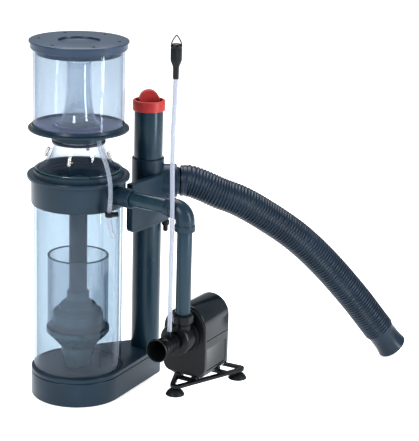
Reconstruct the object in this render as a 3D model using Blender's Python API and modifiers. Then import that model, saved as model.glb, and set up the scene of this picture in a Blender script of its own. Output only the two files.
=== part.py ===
# Protein skimmer with an external feed pump: metres, +Z up.
# The origin is the column's axis at the underside of the base, and +X runs from the column to the standpipe.
import math

import bmesh
import bpy
from mathutils import Matrix, Vector

MM = 0.001
GAP = 0.3                       # clearance between touching pieces
FACET_RATE = 2.4                # half the facets of a turned piece, per square root of its radius

# Column (millimetres from here on)
COLUMN_OD = 120.0
COLUMN_WALL = 4.0
BASE_HEIGHT = 40.0
BASE_PLATE = 6.0
BASE_WALL = 5.0
BASE_MARGIN = 3.3               # base and collar stand proud of the column tube
COLLAR_BOTTOM = 271.0
COLLAR_HEIGHT = 35.0
COLLAR_FLANGE = 6.0
COLLAR_LIP = 5.1                # flange beyond the collar's cylinder
COLLAR_LEDGE = 5.0              # collar's bore is this much inside the column tube's outside
COLUMN_SOCKET = 5.0
NECK_SEAT = 3.5                 # depth of the neck's seat in the flange
NECK_RISE = 46.0                # from the flange to the top of the neck
NECK_RING_R = 35.5
NECK_RING_WALL = 3.2
CUP_RISE = 14.0                 # from the neck to the underside of the cup's floor
CUP_OD = 121.5
CUP_WALL = 3.0
CUP_HEIGHT = 112.0
CUP_FLANGE = 6.2                # floor flange beyond the cup tube
LID_HEIGHT = 11.0
LID_WALL = 3.0
LID_RIM = 5.0                   # lid beyond the cup tube
SEAL_GAP = 2.6                  # room for a flat ring seal between two faces

# Inner chamber
INNER_OD = 82.4
INNER_WALL = 2.5
INNER_TOP = 197.6
DISH_RIM = 96.0
DISH_NECK = 62.0
PEDESTAL_OD = 39.5
PEDESTAL_WALL = 2.2
DOWN_OD = 24.4
DOWN_WALL = 2.0
DOWN_BOTTOM = 133.0

# Free hoses
HOSE_OD = 44.0
HOSE_WALL = 3.0
END_CUFF = 59.0                 # length of the hose's end cuff
DRAIN_OD = 6.0
AIR_OD = 6.0

# Standpipe
STAND_X = 122.0
STAND_OD = 40.0
STAND_WALL = 3.0
STAND_MARGIN = 2.5              # base and tee stand proud of the standpipe
TEE_DROP = 35.0                 # tee's lower rim below the collar
TEE_HEIGHT = 79.0
TEE_SOCKET = 24.0
BRANCH_RISE = 45.0              # branch axis above the tee's lower rim
BRANCH_ANGLE = -36.0
BRANCH_REACH = 40.0
BRANCH_SOCKET = 14.0
BRANCH_WALL = 4.0
CUFF_OD = 39.0                  # hose cuff in the branch's socket
STAND_RISE = 69.0               # standpipe above the tee

# Feed line
FEED_ANGLE = -76.0
FEED_SEAT = 0.2                 # feed socket above the column's seal
FEED_OD = 20.0
FEED_WALL = 1.8
FEED_STUB = 26.7                # feed socket beyond the collar
SOCKET_WALL = 2.4               # wall of the pipe sockets
FEED_REACH = 173.0
NOZZLE_TOP = 142.0
UNION_LOW = 138.0
UNION_TOP = 151.0
NUT_WALL = 4.2                  # union nut beyond the feed pipe
NUT_SIDE = 0.8                  # room between the nut and the pump's cover

# Pump: its own frame has U along the motor shaft, V to its right and the feed pipe at U = V = 0
PUMP_ANGLE = 18.0
SHAFT_V = -6.0
SHAFT_Z = 115.0
VOLUTE_R = 22.0
VOLUTE_FRONT = -12.0
NOZZLE_R = 10.9
MOTOR_BACK = 90.0
MOTOR_LOW = 55.0
MOTOR_HALF = 27.0
MOTOR_WALL = 2.5
FLANGE_HALF = 31.5
FLANGE_THICK = 6.0
FOOT_Z = 43.0
CUP_FOOT_R = 12.6

PALETTE = {                     # colour, roughness, metallic, alpha
    "pvc": ((0.045, 0.085, 0.125), 0.4, 0.0, 1.0),
    "lid": ((0.085, 0.125, 0.19), 0.4, 0.0, 1.0),
    "acrylic": ((0.72, 0.78, 0.88), 0.08, 0.0, 0.3),
    "frosted": ((0.62, 0.66, 0.72), 0.4, 0.0, 0.5),
    "red": ((0.45, 0.07, 0.07), 0.45, 0.0, 1.0),
    "black": ((0.012, 0.016, 0.018), 0.5, 0.0, 1.0),
    "pump": ((0.02, 0.045, 0.05), 0.45, 0.0, 1.0),
    "rubber": ((0.015, 0.018, 0.02), 0.7, 0.0, 1.0),
    "hose": ((0.02, 0.04, 0.075), 0.4, 0.0, 1.0),
    "tubing": ((0.75, 0.8, 0.88), 0.25, 0.0, 0.6),
    "steel": ((0.6, 0.6, 0.62), 0.3, 1.0, 1.0),
    "magnet": ((0.06, 0.06, 0.065), 0.5, 0.0, 1.0),
}

# Routes of the free hoses, chosen point by point (millimetres)
HOSE_ROUTE = [(158.2, -26.3, 281), (169, -34.3, 280.2), (184, -46, 273.5), (202, -60, 263), (229, -78.5, 249.5),
              (266, -99, 223.5), (303.5, -120, 192), (342.2, -140.1, 150.1), (383.5, -159.3, 98.4),
              (411.2, -171.1, 60.6)]
DRAIN_ROUTE = [(-6, -50, 366), (-7.5, -54.5, 357), (-9, -64, 347), (-9.3, -72, 334), (-8, -76, 316),
               (-7.5, -76.5, 297), (-8.8, -76.5, 280), (-9, -75.5, 268), (-6.5, -76.2, 254), (-2, -78.5, 240)]
AIR_ROUTE = [(16, -171.5, 133), (17.5, -170, 160), (19.5, -167.5, 200), (22, -165, 245), (23.6, -163.4, 290),
             (24.2, -161, 348), (25, -160, 390), (26.8, -159.8, 432), (28, -159.6, 463)]


def fresh_collections():
    for ob in list(bpy.data.objects):
        bpy.data.objects.remove(ob, do_unlink=True)
    groups = []
    for name in ("protein_skimmer", "cutters"):
        group = bpy.data.collections.new(name)
        bpy.context.scene.collection.children.link(group)
        groups.append(group)
    return groups


PARTS, CUTTERS = fresh_collections()


def material(key):
    mat = bpy.data.materials.get(key)
    if mat is None:
        colour, roughness, metallic, alpha = PALETTE[key]
        mat = bpy.data.materials.new(key)
        mat.use_nodes = True
        shader = mat.node_tree.nodes["Principled BSDF"]
        shader.inputs["Base Color"].default_value = (*colour, 1.0)
        shader.inputs["Roughness"].default_value = roughness
        shader.inputs["Metallic"].default_value = metallic
        shader.inputs["Alpha"].default_value = alpha
        mat.diffuse_color = (*colour, alpha)
    return mat


def add_object(name, data, key, place=None):
    ob = bpy.data.objects.new(name, data)
    ob.matrix_world = place or Matrix()
    if key is None:
        CUTTERS.objects.link(ob)
        ob.display_type = "WIRE"
        ob.hide_render = True
    else:
        PARTS.objects.link(ob)
        data.materials.append(material(key))
    return ob


# A turned shape: profile points (radius, height) in mm run down the outside, then up any inside.
# Its facets stay about 0.2 mm from the true circle at any radius, inside the clearance of its fits.
def turned(name, profile, key, place=None):
    mesh = bpy.data.meshes.new(name)
    bm = bmesh.new()
    verts = [bm.verts.new((r * MM, 0.0, z * MM)) for r, z in profile]
    for a, b in zip(verts, verts[1:]):
        bm.edges.new((a, b))
    if profile[0][0] > 0.0:
        bm.edges.new((verts[-1], verts[0]))
    bm.to_mesh(mesh)
    bm.free()
    ob = add_object(name, mesh, key, place)
    screw = ob.modifiers.new("turn", "SCREW")
    screw.steps = screw.render_steps = 2 * round(FACET_RATE * math.sqrt(max(r for r, z in profile)))
    screw.use_merge_vertices = True
    screw.merge_threshold = 1e-5
    screw.use_smooth_shade = True
    return ob


def tube(name, outer, inner, low, high, key, place=None):
    return turned(name, [(outer, high), (outer, low), (inner, low), (inner, high)], key, place)


def rod(name, radius, low, high, key, place=None):
    return turned(name, [(0, high), (radius, high), (radius, low), (0, low)], key, place)


def o_ring(name, radius, section, height, key, place=None):
    turns = [2 * math.pi * i / 6 for i in range(6)]
    profile = [(radius + section * math.cos(-t), height + section * math.sin(-t)) for t in turns]
    return turned(name, profile, key, place)


def box(name, low, high, key, place=None):
    mesh = bpy.data.meshes.new(name)
    bm = bmesh.new()
    bmesh.ops.create_cube(bm, size=1.0)
    size = Vector(high) - Vector(low)
    centre = (Vector(high) + Vector(low)) / 2
    for v in bm.verts:
        v.co = Vector([(v.co[i] * size[i] + centre[i]) * MM for i in range(3)])
    bm.to_mesh(mesh)
    bm.free()
    return add_object(name, mesh, key, place)


# The curve's evaluated mesh, welded and placed, in place of the curve
def as_mesh(ob, key):
    bpy.context.view_layer.update()
    graph = bpy.context.evaluated_depsgraph_get()
    mesh = bpy.data.meshes.new_from_object(ob.evaluated_get(graph))
    bm = bmesh.new()
    bm.from_mesh(mesh)
    bmesh.ops.remove_doubles(bm, verts=bm.verts, dist=1e-6)
    bmesh.ops.recalc_face_normals(bm, faces=bm.faces)
    bm.to_mesh(mesh)
    bm.free()
    mesh.materials.clear()
    name, place = ob.name, ob.matrix_world.copy()
    bpy.data.objects.remove(ob, do_unlink=True)
    return add_object(name, mesh, key, place)


# A flat outline (mm) lifted from low to high
def prism(name, outline, low, high, key, place=None):
    curve = bpy.data.curves.new(name, "CURVE")
    curve.dimensions = "2D"
    curve.fill_mode = "BOTH"
    curve.extrude = (high - low) / 2 * MM
    spline = curve.splines.new("POLY")
    spline.points.add(len(outline) - 1)
    for point, (x, y) in zip(spline.points, outline):
        point.co = (x * MM, y * MM, 0.0, 1.0)
    spline.use_cyclic_u = True
    lift = Matrix.Translation((0, 0, (high + low) / 2 * MM))
    ob = add_object(name, curve, key, (place or Matrix()) @ lift)
    return as_mesh(ob, key)


# A round bar or hose along a smooth route (mm)
def along_route(name, points, diameter, key, resolution=2, mesh=False, place=None):
    curve = bpy.data.curves.new(name, "CURVE")
    curve.dimensions = "3D"
    curve.bevel_depth = diameter / 2 * MM
    curve.bevel_resolution = resolution
    curve.use_fill_caps = True
    spline = curve.splines.new("POLY")
    spline.points.add(len(points) - 1)
    for point, co in zip(spline.points, points):
        point.co = (co[0] * MM, co[1] * MM, co[2] * MM, 1.0)
    ob = add_object(name, curve, key, place)
    return as_mesh(ob, key) if mesh else ob


# Points of a Catmull-Rom curve through the route's own points
def smooth_route(points, spacing):
    knots = [Vector(p) for p in points]
    knots = [2 * knots[0] - knots[1]] + knots + [2 * knots[-1] - knots[-2]]
    fine = []
    for i in range(1, len(knots) - 2):
        a, b, c, d = knots[i - 1:i + 3]
        count = max(2, round((c - b).length / spacing))
        for k in range(count):
            t = k / count
            fine.append(0.5 * (2 * b + (c - a) * t + (2 * a - 5 * b + 4 * c - d) * t ** 2
                               + (3 * b - a - 3 * c + d) * t ** 3))
    fine.append(knots[-2])
    return fine


def boolean(target, cutter, operation="DIFFERENCE"):
    step = target.modifiers.new(operation.lower(), "BOOLEAN")
    step.object = cutter
    step.operation = operation
    step.solver = "EXACT"
    return target


def turn_z(angle):
    return Matrix.Rotation(math.radians(angle), 4, "Z")


def move(x, y, z):
    return Matrix.Translation((x * MM, y * MM, z * MM))


LAY_OUT = Matrix.Rotation(math.radians(90), 4, "Y")     # a turned shape's axis goes to +X


def arc(cx, cy, radius, start, stop, count):
    angles = [math.radians(start + (stop - start) * i / count) for i in range(count + 1)]
    return [(cx + radius * math.cos(a), cy + radius * math.sin(a)) for a in angles]


# Outline of a large and a small circle with their common tangents
def teardrop(large, small, distance, count=28):
    lean = math.degrees(math.acos((large - small) / distance))
    return arc(0, 0, large, lean, 360 - lean, count) + arc(distance, 0, small, -lean, lean, count // 2)


# Radii and levels that more than one piece shares
column_r = COLUMN_OD / 2
collar_r = column_r + BASE_MARGIN
collar_bore = column_r - COLLAR_LEDGE
collar_top = COLLAR_BOTTOM + COLLAR_HEIGHT + COLLAR_FLANGE
column_top = COLLAR_BOTTOM + COLUMN_SOCKET
neck_seat_r = column_r - 3
neck_top = collar_top + NECK_RISE
cup_low = neck_top + CUP_RISE
cup_r = CUP_OD / 2
down_top = COLLAR_BOTTOM + 1
stand_r = STAND_OD / 2
stand_bore = stand_r - STAND_WALL
tee_r = stand_r + STAND_MARGIN
tee_low = COLLAR_BOTTOM - TEE_DROP
tee_top = tee_low + TEE_HEIGHT
branch_r = CUFF_OD / 2 + BRANCH_WALL
stand_top = tee_top + STAND_RISE
feed_r = FEED_OD / 2
feed_stub_r = feed_r + SOCKET_WALL
feed_z = column_top + SEAL_GAP + FEED_SEAT + feed_stub_r
nut_r = feed_r + NUT_WALL
volute_back = nut_r + NUT_SIDE
feed_place = turn_z(FEED_ANGLE)
stand_place = move(STAND_X, 0, 0)
branch_place = stand_place @ turn_z(BRANCH_ANGLE) @ move(0, 0, tee_low + BRANCH_RISE) @ LAY_OUT


# ---------------------------------------------------------------- base and column
def build_base():
    plan = teardrop(collar_r, tee_r, STAND_X)
    inside = teardrop(collar_r - BASE_WALL, tee_r - BASE_WALL, STAND_X)
    plate_low = BASE_HEIGHT - BASE_PLATE
    shell = prism("base_box", plan, 0, plate_low - GAP, "pvc")
    boolean(shell, prism("base_hollow", inside, BASE_WALL, BASE_HEIGHT, None))
    plate = prism("base_plate", plan, plate_low, BASE_HEIGHT, "pvc")
    boolean(plate, rod("pedestal_port", PEDESTAL_OD / 2 - PEDESTAL_WALL, 0, 2 * BASE_HEIGHT, None))
    boolean(plate, rod("stand_port", stand_bore, 0, 2 * BASE_HEIGHT, None, stand_place))


def build_column():
    tube("body_tube", column_r, column_r - COLUMN_WALL, BASE_HEIGHT + GAP, column_top, "acrylic")
    tube("pedestal_tube", PEDESTAL_OD / 2, PEDESTAL_OD / 2 - PEDESTAL_WALL, BASE_HEIGHT + GAP,
         DISH_NECK + 3, "frosted")
    rim = INNER_OD / 2 + 1.6
    seat = INNER_OD / 2 - INNER_WALL - 3
    neck = PEDESTAL_OD / 2 + GAP
    # a funnel: socket over the pedestal, cone, and a rim with a ledge for the inner tube
    turned("diffuser_dish", [
        (rim, DISH_RIM), (rim, DISH_RIM - 7), (rim - 3, DISH_RIM - 10), (neck + 2.2, DISH_NECK + 5),
        (neck + 2.2, DISH_NECK - 6), (neck, DISH_NECK - 6), (neck, DISH_NECK + 3 + GAP),
        (PEDESTAL_OD / 2 - PEDESTAL_WALL, DISH_NECK + 3 + GAP), (seat, DISH_RIM - 7.5),
        (seat, DISH_RIM - 6), (INNER_OD / 2 + GAP, DISH_RIM - 6), (INNER_OD / 2 + GAP, DISH_RIM)], "frosted")
    tube("inner_tube", INNER_OD / 2, INNER_OD / 2 - INNER_WALL, DISH_RIM - 6 + GAP, INNER_TOP, "acrylic")
    tube("down_pipe", DOWN_OD / 2, DOWN_OD / 2 - DOWN_WALL, DOWN_BOTTOM + 4, down_top, "pvc")
    sleeve = DOWN_OD / 2 + GAP
    # socket and bell that spreads the incoming stream
    turned("diffuser_bell", [
        (sleeve + 2, DOWN_BOTTOM + 13), (sleeve + 2, DOWN_BOTTOM), (20, DOWN_BOTTOM - 2), (27, DOWN_BOTTOM - 6),
        (30.5, DOWN_BOTTOM - 12), (30.5, DOWN_BOTTOM - 18), (28.5, DOWN_BOTTOM - 18), (28.5, DOWN_BOTTOM - 12.5),
        (25, DOWN_BOTTOM - 7.5), (19, DOWN_BOTTOM - 4), (DOWN_OD / 2 - DOWN_WALL, DOWN_BOTTOM - 2.5),
        (DOWN_OD / 2 - DOWN_WALL, DOWN_BOTTOM + 4 - GAP), (sleeve, DOWN_BOTTOM + 4 - GAP),
        (sleeve, DOWN_BOTTOM + 13)], "frosted")


# ---------------------------------------------------------------- collar, neck and feed inlet
def feed_axis(reach=0.0):
    return feed_place @ move(reach, 0, feed_z) @ LAY_OUT


def build_collar():
    flange = collar_top - COLLAR_FLANGE
    seat = collar_top - NECK_SEAT
    ledge = column_top + SEAL_GAP
    collar = turned("collar_housing", [
        (collar_r + COLLAR_LIP - 1, collar_top), (collar_r + COLLAR_LIP, collar_top - 1),
        (collar_r + COLLAR_LIP, flange), (collar_r, flange), (collar_r, COLLAR_BOTTOM),
        (column_r + GAP, COLLAR_BOTTOM), (column_r + GAP, ledge), (collar_bore, ledge),
        (collar_bore, seat), (neck_seat_r + GAP, seat), (neck_seat_r + GAP, collar_top)], "pvc")
    boolean(collar, rod("collar_port", feed_stub_r + GAP, collar_bore - 7, collar_r + FEED_STUB, None, feed_axis()))
    tube("feed_stub", feed_stub_r, feed_r + GAP, collar_bore - 2, collar_r + FEED_STUB, "pvc", feed_axis())
    o_ring("collar_o_ring", column_r - COLUMN_WALL / 2, SEAL_GAP / 2 - GAP, column_top + SEAL_GAP / 2, "rubber")
    # elbow inside the head: takes the feed from the wall to the down pipe
    drop_r = DOWN_OD / 2 + SOCKET_WALL
    elbow = rod("feed_inner_elbow", feed_stub_r, -2, collar_bore - 2 - GAP, "pvc", feed_axis())
    boolean(elbow, rod("elbow_drop", drop_r, down_top - 10, feed_z + feed_stub_r + 0.6, None), "UNION")
    boolean(elbow, rod("elbow_bore", feed_r - FEED_WALL, 0, collar_r, None, feed_axis()))
    boolean(elbow, rod("elbow_well", DOWN_OD / 2 - DOWN_WALL, down_top - 1, feed_z + feed_r - 1, None))
    boolean(elbow, rod("elbow_socket", DOWN_OD / 2 + GAP, down_top - 17, down_top + GAP, None))


def build_neck():
    low = collar_top - NECK_SEAT + GAP
    rim = NECK_RING_R - NECK_RING_WALL - GAP
    cone = turned("cone_neck", [
        (rim, neck_top - 4), (rim, neck_top - 9), (rim + 5, neck_top - 11), (neck_seat_r - 3, low + 9),
        (neck_seat_r, low + 6), (neck_seat_r, low), (neck_seat_r - 6, low), (neck_seat_r - 6, low + 7),
        (rim + 0.5, neck_top - 14), (rim - 3, neck_top - 12), (rim - 3, neck_top - 4)], "acrylic")
    for index in range(4):
        place = turn_z(-125 + 90 * index) @ move(neck_seat_r - 4, 0, low + 5)
        lug = prism(f"lug_{index}", arc(0, 0, 4.2, 0, 360, 10)[:-1], 0, 17, None, place)
        boolean(cone, lug, "UNION")
    o_ring("neck_o_ring", neck_seat_r - 8.4, 1.6, low + 2.2, "rubber")
    tube("neck_ring", NECK_RING_R, NECK_RING_R - NECK_RING_WALL, neck_top - 9 + GAP, neck_top, "pvc")


def build_cup():
    floor_r = cup_r + CUP_FLANGE
    hole = 28.5
    step = cup_low + 3.5
    turned("cup_floor", [
        (cup_r + 1.5, step + 4), (cup_r + 1.5, step), (floor_r, step), (floor_r, cup_low),
        (hole + 6, cup_low), (hole + 6, neck_top + GAP), (hole, neck_top + GAP), (hole, step + 4.5),
        (hole + 3, step + 4.5), (hole + 3, step + 1), (cup_r + GAP, step + 1), (cup_r + GAP, step + 4)],
        "acrylic")
    tube("cup_tube", cup_r, cup_r - CUP_WALL, step + 1 + GAP, cup_low + CUP_HEIGHT, "acrylic")
    riser_low = step + 4.5 + GAP
    flare = [(27.5, 0), (23.5, 5), (20.5, 13), (18.3, 24), (17, 38), (16.4, 56), (16.2, 82)]
    outside = [(r, riser_low + h) for r, h in reversed(flare)]
    inside = [(r - 2, riser_low + h) for r, h in flare]
    turned("foam_riser", outside + inside, "acrylic")


def build_lid():
    seat = cup_low + CUP_HEIGHT + SEAL_GAP
    top = seat + LID_WALL + 1.8
    skirt = top - LID_HEIGHT
    rim = cup_r + LID_RIM
    plug = cup_r - CUP_WALL - 1.2
    hollow = plug - 6.5
    vents = 6
    lid = turned("cup_lid", [
        (0, top - 3.2), (27, top - 3.2), (27, top), (rim, top), (rim, top - 2.5), (rim - 1.9, top - 2.8),
        (rim - 1.9, skirt), (cup_r + GAP, skirt), (cup_r + GAP, seat), (plug, seat), (plug, skirt - 7),
        (hollow, skirt - 7), (hollow, top - 7), (0, top - 7)], "lid")
    for index in range(vents):
        place = turn_z(360 / vents * index - 48) @ move(hollow + 2, 0, 0)
        boolean(lid, rod(f"vent_{index}", 2.2, skirt - 10, top + 5, None, place))
    o_ring("lid_gasket", cup_r - CUP_WALL / 2, SEAL_GAP / 2 - GAP, seat - SEAL_GAP / 2, "rubber")


# ---------------------------------------------------------------- standpipe
def build_standpipe():
    low_socket = tee_low + TEE_SOCKET
    top_socket = tee_top - TEE_SOCKET
    side_socket = BRANCH_REACH - BRANCH_SOCKET
    cuff_r = CUFF_OD / 2
    hose_bore = cuff_r - HOSE_WALL
    past = 5
    tube("standpipe_lower", stand_r, stand_bore, BASE_HEIGHT + GAP, low_socket, "pvc", stand_place)
    tube("standpipe_upper", stand_r, stand_bore, top_socket, stand_top, "pvc", stand_place)
    tee = rod("outlet_tee", tee_r, tee_low, tee_top, "pvc", stand_place)
    boolean(tee, rod("tee_branch", branch_r, past, BRANCH_REACH, None, branch_place), "UNION")
    boolean(tee, rod("tee_run", stand_bore, tee_low - past, tee_top + past, None, stand_place))
    boolean(tee, rod("tee_low_socket", stand_r + GAP, tee_low - past, low_socket + GAP, None, stand_place))
    boolean(tee, rod("tee_top_socket", stand_r + GAP, top_socket - GAP, tee_top + past, None, stand_place))
    boolean(tee, rod("tee_side", hose_bore, 3, BRANCH_REACH + past, None, branch_place))
    socket_r = cuff_r + GAP
    boolean(tee, rod("tee_side_socket", socket_r, side_socket - GAP, BRANCH_REACH + past, None, branch_place))
    tube("hose_cuff_near", cuff_r, hose_bore, side_socket, BRANCH_REACH + 4, "hose", branch_place)
    cap_r = stand_r + 2.3
    cap_low = stand_top - 2.5
    cap_floor = stand_top + 3
    cap = turned("regulator_cap", [
        (0, stand_top + 12), (cap_r - 2.3, stand_top + 12), (cap_r, stand_top + 9.5), (cap_r, cap_low),
        (stand_r + GAP, cap_low), (stand_r + GAP, stand_top + GAP), (0, stand_top + GAP)], "red", stand_place)
    boolean(cap, rod("cap_recess", cap_r - 3.8, cap_floor, stand_top + 30, None, stand_place))
    # the grip is half a disc that stands across the recess
    stand_up = Matrix.Rotation(math.radians(90), 4, "X")
    grip_place = stand_place @ turn_z(-34) @ move(0, 0, cap_floor) @ stand_up
    grip_r = 14
    half_disc = [(-grip_r, -1), (grip_r, -1)] + arc(0, 8.5, grip_r, 0, 180, 12)
    boolean(cap, prism("cap_grip", half_disc, -4, 4, None, grip_place), "UNION")
    tube("regulator_sleeve", stand_bore - GAP, stand_bore - 2, stand_top - 42, stand_top, "red", stand_place)


# Upright web across the front of the tee: local X runs along it and -Y is its front
def build_bracket():
    front = tee_r + 0.4
    web_half = 5
    low, high = tee_low - 9, feed_z + feed_r / 2
    left, right = collar_r - 16.8 - STAND_X, 16
    corner = 7
    place = stand_place @ turn_z(FEED_ANGLE + 90)
    outline = (arc(left + corner, low + corner, corner, 180, 270, 4)
               + arc(right - corner, low + corner, corner, 270, 360, 4) + [(right, high), (left, high)])
    upright = move(0, -front, 0) @ Matrix.Rotation(math.radians(90), 4, "X")
    web = prism("pipe_bracket", outline, -4, 2 * web_half - 4, "pvc", place @ upright)
    boolean(web, rod("web_tee", tee_r + GAP, low - 10, high + 10, None, stand_place))
    boolean(web, rod("web_collar", collar_r + GAP, low - 10, high + 10, None))
    boolean(web, rod("web_branch", branch_r + GAP, 5, 2 * BRANCH_REACH, None, branch_place))
    turned("bracket_knob", [
        (0, low - GAP), (5, low - GAP), (5.3, low - 2), (5.3, low - 6), (3.4, low - 8), (3.4, low - 15),
        (2.6, low - 16), (0, low - 16)], "black", place @ move(9, -front - 2.3, 0))


# ---------------------------------------------------------------- feed line
def build_feed_line():
    core_r = feed_r - FEED_WALL
    bend = feed_r + 5
    leg = 12.0
    elbow_in = FEED_REACH - bend
    drop_top = feed_z - bend - 2
    down_place = feed_place @ move(FEED_REACH, 0, 0)
    bend_place = feed_place @ move(0, 0, feed_z)
    tube("feed_pipe_upper", feed_r, core_r, collar_r + 0.7, elbow_in - 1, "pvc", feed_axis())
    turns = [math.radians(90 * i / 6) for i in range(7)]
    bent = [(elbow_in + bend * math.sin(a), 0, bend * (math.cos(a) - 1)) for a in turns]
    path = [(elbow_in - leg, 0, 0)] + bent + [(FEED_REACH, 0, -bend - leg - 4)]
    core = [(elbow_in - leg - 2, 0, 0)] + bent + [(FEED_REACH, 0, -bend - leg - 6)]
    elbow = along_route("feed_elbow", path, 2 * (feed_r + 3), "pvc", 5, True, bend_place)
    boolean(elbow, along_route("elbow_core", core, 2 * feed_r - 4, None, 5, True, bend_place))
    in_depth = elbow_in - 1 + GAP
    boolean(elbow, rod("elbow_in_socket", feed_r + GAP, elbow_in - leg - 5, in_depth, None, feed_axis()))
    boolean(elbow, rod("elbow_out_socket", feed_r + GAP, drop_top - 40, drop_top + GAP, None, down_place))
    tube("feed_pipe_lower", feed_r, core_r, NOZZLE_TOP + GAP, drop_top, "pvc", down_place)
    nut_corners = 8
    nut_outline = arc(0, 0, nut_r, 22.5, 337.5, nut_corners - 1)
    nut = prism("union_nut", nut_outline, UNION_LOW, UNION_TOP, "black", down_place)
    boolean(nut, rod("nut_bore", feed_r + GAP, NOZZLE_TOP + GAP, UNION_TOP + 5, None, down_place))
    boolean(nut, rod("nut_thread", NOZZLE_R + GAP, UNION_LOW - 5, NOZZLE_TOP + GAP, None, down_place))


# ---------------------------------------------------------------- pump
pump_place = feed_place @ move(FEED_REACH, 0, 0) @ turn_z(PUMP_ANGLE - FEED_ANGLE)
shaft_place = pump_place @ move(0, -SHAFT_V, SHAFT_Z) @ LAY_OUT
END_ON = Matrix(((0, 0, 1, 0), (-1, 0, 0, 0), (0, 1, 0, 0), (0, 0, 0, 1)))   # outline (V, Z) lifted along U


# A loaf outline round the shaft: half its width, level of the arch's centre, its bottom and corner radius
def loaf(half, arch, bottom, corner):
    left, right = SHAFT_V - half + corner, SHAFT_V + half - corner
    return (arc(SHAFT_V, arch, half, 0, 180, 16) + arc(left, bottom + corner, corner, 180, 270, 4)
            + arc(right, bottom + corner, corner, 270, 360, 4))


def build_pump():
    flange_at = volute_back + GAP
    motor_at = flange_at + FLANGE_THICK + GAP
    volute = rod("pump_volute", VOLUTE_R, VOLUTE_FRONT, volute_back, "black", shaft_place)
    boolean(volute, rod("nozzle", NOZZLE_R, SHAFT_Z, NOZZLE_TOP, None, pump_place), "UNION")
    boolean(volute, rod("inlet_boss", 9.5, VOLUTE_FRONT - 14, 0, None, shaft_place), "UNION")
    boolean(volute, rod("volute_room", VOLUTE_R - 4, VOLUTE_FRONT + 4, volute_back + 5, None, shaft_place))
    boolean(volute, rod("nozzle_bore", 7.5, SHAFT_Z + 2, NOZZLE_TOP + 5, None, pump_place))
    boolean(volute, rod("inlet_bore", 6.5, VOLUTE_FRONT - 20, VOLUTE_FRONT + 6, None, shaft_place))
    flange = prism("pump_front_flange", loaf(FLANGE_HALF, 121, 60, 12), flange_at, flange_at + FLANGE_THICK,
                   "black", pump_place @ END_ON)
    boolean(flange, rod("flange_bore", 11.4, 0, 60, None, shaft_place))
    motor = prism("pump_motor_housing", loaf(MOTOR_HALF, 127, MOTOR_LOW, 8), motor_at, MOTOR_BACK, "pump",
                  pump_place @ END_ON)
    room = loaf(MOTOR_HALF - MOTOR_WALL, 127, MOTOR_LOW + MOTOR_WALL, 6)
    boolean(motor, prism("motor_room", room, motor_at - 5, MOTOR_BACK - 3, None, pump_place @ END_ON))
    for side in (-1, 1):
        y = -SHAFT_V + side * MOTOR_HALF
        panel_low, panel_high = (motor_at + 6, y - 1, 66), (MOTOR_BACK - 6, y + 1, 96)
        boolean(motor, box(f"panel_{side}", panel_low, panel_high, None, pump_place))
    can_r = 12.6
    stator_low, stator_high = (motor_at + 16, -SHAFT_V - 21, 70), (MOTOR_BACK - 14, -SHAFT_V + 21, 138)
    stator = box("stator_block", stator_low, stator_high, "steel", pump_place)
    boolean(stator, rod("stator_bore", can_r + GAP, 0, 120, None, shaft_place))
    can_low, can_top = motor_at, MOTOR_BACK - 6.5
    turned("rotor_can", [
        (0, can_top), (can_r, can_top), (can_r, can_low + 1.6), (can_r + 3, can_low + 1.6), (can_r + 3, can_low),
        (can_r - 1.2, can_low), (can_r - 1.2, can_top - 1.5), (0, can_top - 1.5)], "black", shaft_place)
    shaft_r = 1.5
    rod("pump_shaft", shaft_r, VOLUTE_FRONT + 6, MOTOR_BACK - 10, "steel", shaft_place)
    tube("rotor_magnet", 10.8, shaft_r + GAP, motor_at + 8, MOTOR_BACK - 20, "magnet", shaft_place)
    impeller = tube("impeller", 5, shaft_r + GAP, -4, volute_back - 1, "black", shaft_place)
    for index in range(6):
        place = shaft_place @ turn_z(60 * index)
        boolean(impeller, box(f"vane_{index}", (3.4, -0.8, -4), (16.5, 0.8, 7), None, place), "UNION")
    tube("rear_bush", can_r - 1.5, shaft_r + GAP, MOTOR_BACK - 18, MOTOR_BACK - 12, "rubber", shaft_place)
    tube("front_bush", can_r - 1.5, shaft_r + GAP, flange_at + 1, flange_at + 6, "rubber", shaft_place)
    mouth = VOLUTE_FRONT - 44
    turned("inlet_trumpet", [
        (11.9, VOLUTE_FRONT - 4), (11.9, VOLUTE_FRONT - 24), (10.5, VOLUTE_FRONT - 27), (11.5, mouth + 12),
        (15.6, mouth + 4), (15.6, mouth), (13.8, mouth), (13.8, mouth + 3), (9.6, mouth + 13),
        (8.5, VOLUTE_FRONT - 20), (8.5, VOLUTE_FRONT - 14 - GAP), (9.5 + GAP, VOLUTE_FRONT - 14 - GAP),
        (9.5 + GAP, VOLUTE_FRONT - 4)],
        "black", shaft_place)
    turned("cable_gland", [
        (0, MOTOR_BACK + 9), (4, MOTOR_BACK + 9), (5, MOTOR_BACK + GAP), (0, MOTOR_BACK + GAP)], "black",
        pump_place @ move(0, -SHAFT_V, 78) @ LAY_OUT)


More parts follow.
